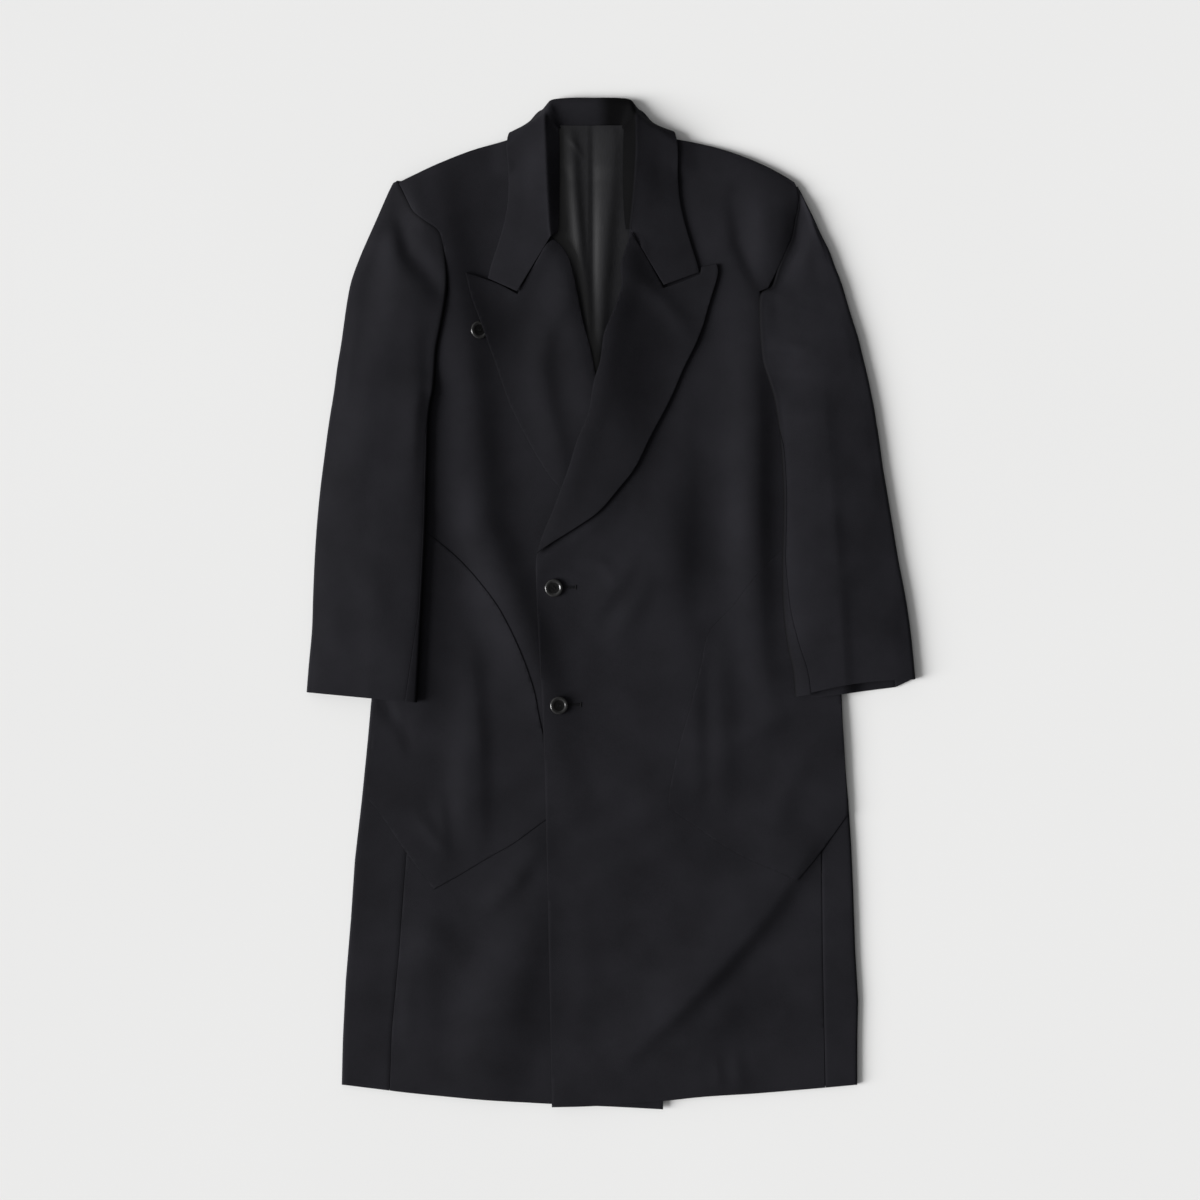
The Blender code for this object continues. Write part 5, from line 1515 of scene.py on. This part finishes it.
def button(number, x, y, rests):
    name = "button_%d" % number
    sit = button_seat(x, y, rests)
    dish_z = BUTTON_PROFILE[-1][1]
    bm = bmesh.new()
    points = [bm.verts.new((r, 0.0, z)) for r, z in BUTTON_PROFILE]
    edges = [bm.edges.new(pair) for pair in zip(points, points[1:])]
    bmesh.ops.spin(bm, geom=points + edges, cent=(0, 0, 0), axis=(0, 0, 1),
                   angle=2 * math.pi, steps=TURNED_STEPS, use_merge=True)
    bmesh.ops.remove_doubles(bm, verts=bm.verts[:], dist=1e-4)
    dish = [e for e in bm.edges if e.is_boundary]
    rims = []
    for hole in range(4):
        angle = math.pi / 4 + hole * math.pi / 2
        centre = Matrix.Translation((HOLE_PITCH * math.cos(angle),
                                     HOLE_PITCH * math.sin(angle), dish_z))
        ring = bmesh.ops.create_circle(bm, segments=HOLE_STEPS, radius=HOLE_RADIUS,
                                       matrix=centre)
        rims.append(sorted({e for v in ring["verts"] for e in v.link_edges},
                           key=lambda e: e.index))
    bmesh.ops.triangle_fill(bm, use_beauty=True, use_dissolve=False,
                            edges=dish + [e for rim in rims for e in rim])
    for rim in rims:
        for depth in HOLE_DEPTHS:
            deeper = bmesh.ops.extrude_edge_only(bm, edges=rim)["geom"]
            for vert in only(bmesh.types.BMVert, deeper):
                vert.co.z -= depth
            rim = only(bmesh.types.BMEdge, deeper)
        bmesh.ops.contextual_create(bm, geom=rim)
    bmesh.ops.recalc_face_normals(bm, faces=bm.faces[:])
    for face in bm.faces:
        middle = face.calc_center_median()
        in_dish = middle.z > 0.5 and math.hypot(middle.x, middle.y) < DISH_RADIUS
        face.material_index = 1 if in_dish else 0
    bmesh.ops.transform(bm, matrix=sit, verts=bm.verts[:])
    mesh = as_mesh(bm, name + "_horn")
    mesh.set_sharp_from_angle(angle=math.radians(SHARP_EDGE))
    # The rim takes the horn painted lighter and the dish the horn painted darker: a painted
    # highlight and painted shade.
    mesh.materials.append(horn(name + "_rim", 1.0))
    mesh.materials.append(horn(name + "_dish", 0.0))
    piece = lay_out(name + "_horn", mesh)
    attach(piece, "root")
    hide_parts(name)

    # Two pairs of stitches between the holes, and the wound shank under the button.
    bm = bmesh.new()
    long = 2 * HOLE_PITCH * math.cos(math.pi / 4)
    for row in (-1.0, 1.0):
        for strand in (-STRAND_APART, STRAND_APART):
            side = row * HOLE_PITCH * math.sin(math.pi / 4) + strand
            place = Matrix.Translation((0.0, side, dish_z + STRAND_OVER))
            made = bmesh.ops.create_cone(
                bm, cap_ends=True, segments=8, radius1=STRAND_RADIUS, radius2=STRAND_RADIUS,
                depth=long, matrix=place @ Matrix.Rotation(math.pi / 2, 4, "Y"))
            for vert in made["verts"]:
                if abs(vert.co.x) > 0.4 * long:
                    vert.co.z -= STRAND_SINKS
    bmesh.ops.create_cone(bm, cap_ends=True, segments=16, radius1=SHANK_FOOT,
                          radius2=SHANK_NECK, depth=SHANK_HEIGHT,
                          matrix=Matrix.Translation((0.0, 0.0, -SHANK_BELOW)))
    bmesh.ops.bevel(bm, geom=bm.edges[:], offset=THREAD_ROUND, offset_type="OFFSET",
                    segments=2, profile=0.5, affect="EDGES", material=-1)
    bmesh.ops.transform(bm, matrix=sit, verts=bm.verts[:])
    mesh = as_mesh(bm, name + "_thread")
    mesh.materials.append(thread(name + "_thread"))
    sewn = lay_out(name + "_thread", mesh)
    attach(sewn, "root")


for count, place in enumerate(BUTTONS_LEFT_FRONT, 1):
    button(count, *place, left_front_floor)
button(3, *BUTTON_RIGHT_FRONT, right_front_floor)


# The buttonholes: a slit cut through the left front at each button, its two lips sewn over
# with black buttonhole thread, and a bar of the same stitches across its inner end.

SLIT_START = -3.0
SLIT_END = 24.5
SLIT_ABOVE = 0.8
SLIT_HALF = 0.95
CORD_RADIUS = 0.62
CORD_SEGMENTS = 8
BAR_HALF = 2.7

# The lips meet to this share at the slit's start and part by this much with each mm. How
# far the middle of a lip's cord and of the bar's is above the cloth, in radii of the cord,
# how far the bar is past the slit, and how much thicker it is.
LIPS_MEET = 0.35
LIPS_PART = 0.25
LIP_ABOVE = 0.1
BAR_ABOVE = 0.2
BAR_PAST = 0.5
BAR_THICKER = 1.15


def cord(bm, points, radius):
    """A thread cord through points, closed at both ends."""
    points = [Vector(point) for point in points]
    places = []
    for n, point in enumerate(points):
        along = points[min(n + 1, len(points) - 1)] - points[max(n - 1, 0)]
        places.append(Matrix.Translation(point) @ upright(along))
    ring = bmesh.ops.create_circle(bm, segments=CORD_SEGMENTS, radius=radius,
                                   matrix=places[0])["verts"]
    edges = list({edge for vert in ring for edge in vert.link_edges})
    bmesh.ops.contextual_create(bm, geom=edges)
    for before, after in zip(places, places[1:]):
        grown = bmesh.ops.extrude_edge_only(bm, edges=edges)["geom"]
        bmesh.ops.transform(bm, matrix=after @ before.inverted(),
                            verts=only(bmesh.types.BMVert, grown))
        edges = only(bmesh.types.BMEdge, grown)
    bmesh.ops.contextual_create(bm, geom=edges)


def on_left_front(x, y, above):
    """A point on the left front's upper side, a little above it."""
    return x, y, at_point(left_front_floor, x, y) + BODY_WALL + above


def buttonhole(number, x, y):
    """Two sewn lips beside a slit from under the button outward, and a bar at its end."""
    name = "buttonhole_%d" % number
    first, last, y = x + SLIT_START, x + SLIT_END, y + SLIT_ABOVE
    bm = bmesh.new()
    for lip in (-1.0, 1.0):
        path = []
        for along in np.linspace(first, last, 15):
            parted = min(1.0, LIPS_MEET + LIPS_PART * abs(along - first))
            apart = SLIT_HALF * lip * parted
            path.append(on_left_front(along, y + apart, LIP_ABOVE * CORD_RADIUS))
        cord(bm, path, CORD_RADIUS)
    bar = [on_left_front(last + BAR_PAST, y + part, BAR_ABOVE * CORD_RADIUS)
           for part in np.linspace(-BAR_HALF, BAR_HALF, 7) * SLIT_HALF]
    cord(bm, bar, BAR_THICKER * CORD_RADIUS)
    bmesh.ops.recalc_face_normals(bm, faces=bm.faces[:])
    bmesh.ops.scale(bm, vec=(MM, MM, MM), verts=bm.verts[:])
    mesh = as_mesh(bm, name)
    mesh.materials.append(thread(name + "_twist"))
    piece = lay_out(name, mesh)
    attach(piece, "root")


for count, place in enumerate(BUTTONS_LEFT_FRONT, 1):
    buttonhole(count, *place)


# The floor is plain and pale. A large soft window is on the left, daylight fills the room,
# and the camera looks straight down on the coat, as in the photo.

def pale_paint():
    material, tree, shader, where = new_material("floor_paint")
    cloud = noise(tree, where, 1.5)
    colour = shades(tree, cloud, (0.80, 0.80, 0.795), (0.83, 0.83, 0.825))
    tree.links.new(colour, shader.inputs["Base Color"])
    shader.inputs["Roughness"].default_value = 0.9
    shader.inputs["Specular IOR Level"].default_value = 0.1
    return material


bm = bmesh.new()
bmesh.ops.create_grid(bm, x_segments=4, y_segments=4, size=6.0)
floor_mesh = as_mesh(bm, "floor")
floor_mesh.transform(Matrix.Translation((0.0, 0.0, -0.0002)))
floor_mesh.materials.append(pale_paint())
floor = lay_out("floor", floor_mesh)

window = bpy.data.lights.new("window", "SUN")
window.energy = 5.4
window.angle = math.radians(34.0)
window_obj = lay_out("window", window)
window_obj.rotation_euler = (math.radians(10.0), -math.radians(65.0), 0.0)

# Daylight fills the room from the window's side and leaves the ceiling dimmer.
room = bpy.data.worlds.new("room")
room.use_nodes = True
nodes, links = room.node_tree.nodes, room.node_tree.links
sky = nodes["Background"]
sky.inputs["Color"].default_value = (1.0, 1.0, 1.0, 1.0)
way = nodes.new("ShaderNodeTexCoord")
parts = nodes.new("ShaderNodeSeparateXYZ")
links.new(way.outputs["Generated"], parts.inputs["Vector"])
side_light = nodes.new("ShaderNodeMapRange")
side_light.interpolation_type = "SMOOTHSTEP"
side_light.inputs["From Min"].default_value = 0.5
side_light.inputs["From Max"].default_value = -1.0
side_light.inputs["To Min"].default_value = 0.13
side_light.inputs["To Max"].default_value = 0.62
links.new(parts.outputs["X"], side_light.inputs["Value"])
links.new(side_light.outputs["Result"], sky.inputs["Strength"])
bpy.context.scene.world = room
bpy.context.scene.view_settings.view_transform = "Standard"

camera = bpy.data.cameras.new("camera")
camera.lens = 85.0
camera.sensor_width = 36.0
camera_obj = lay_out("camera", camera)
camera_obj.location = (-0.01265, 0.00345, 3.2583)
bpy.context.scene.camera = camera_obj
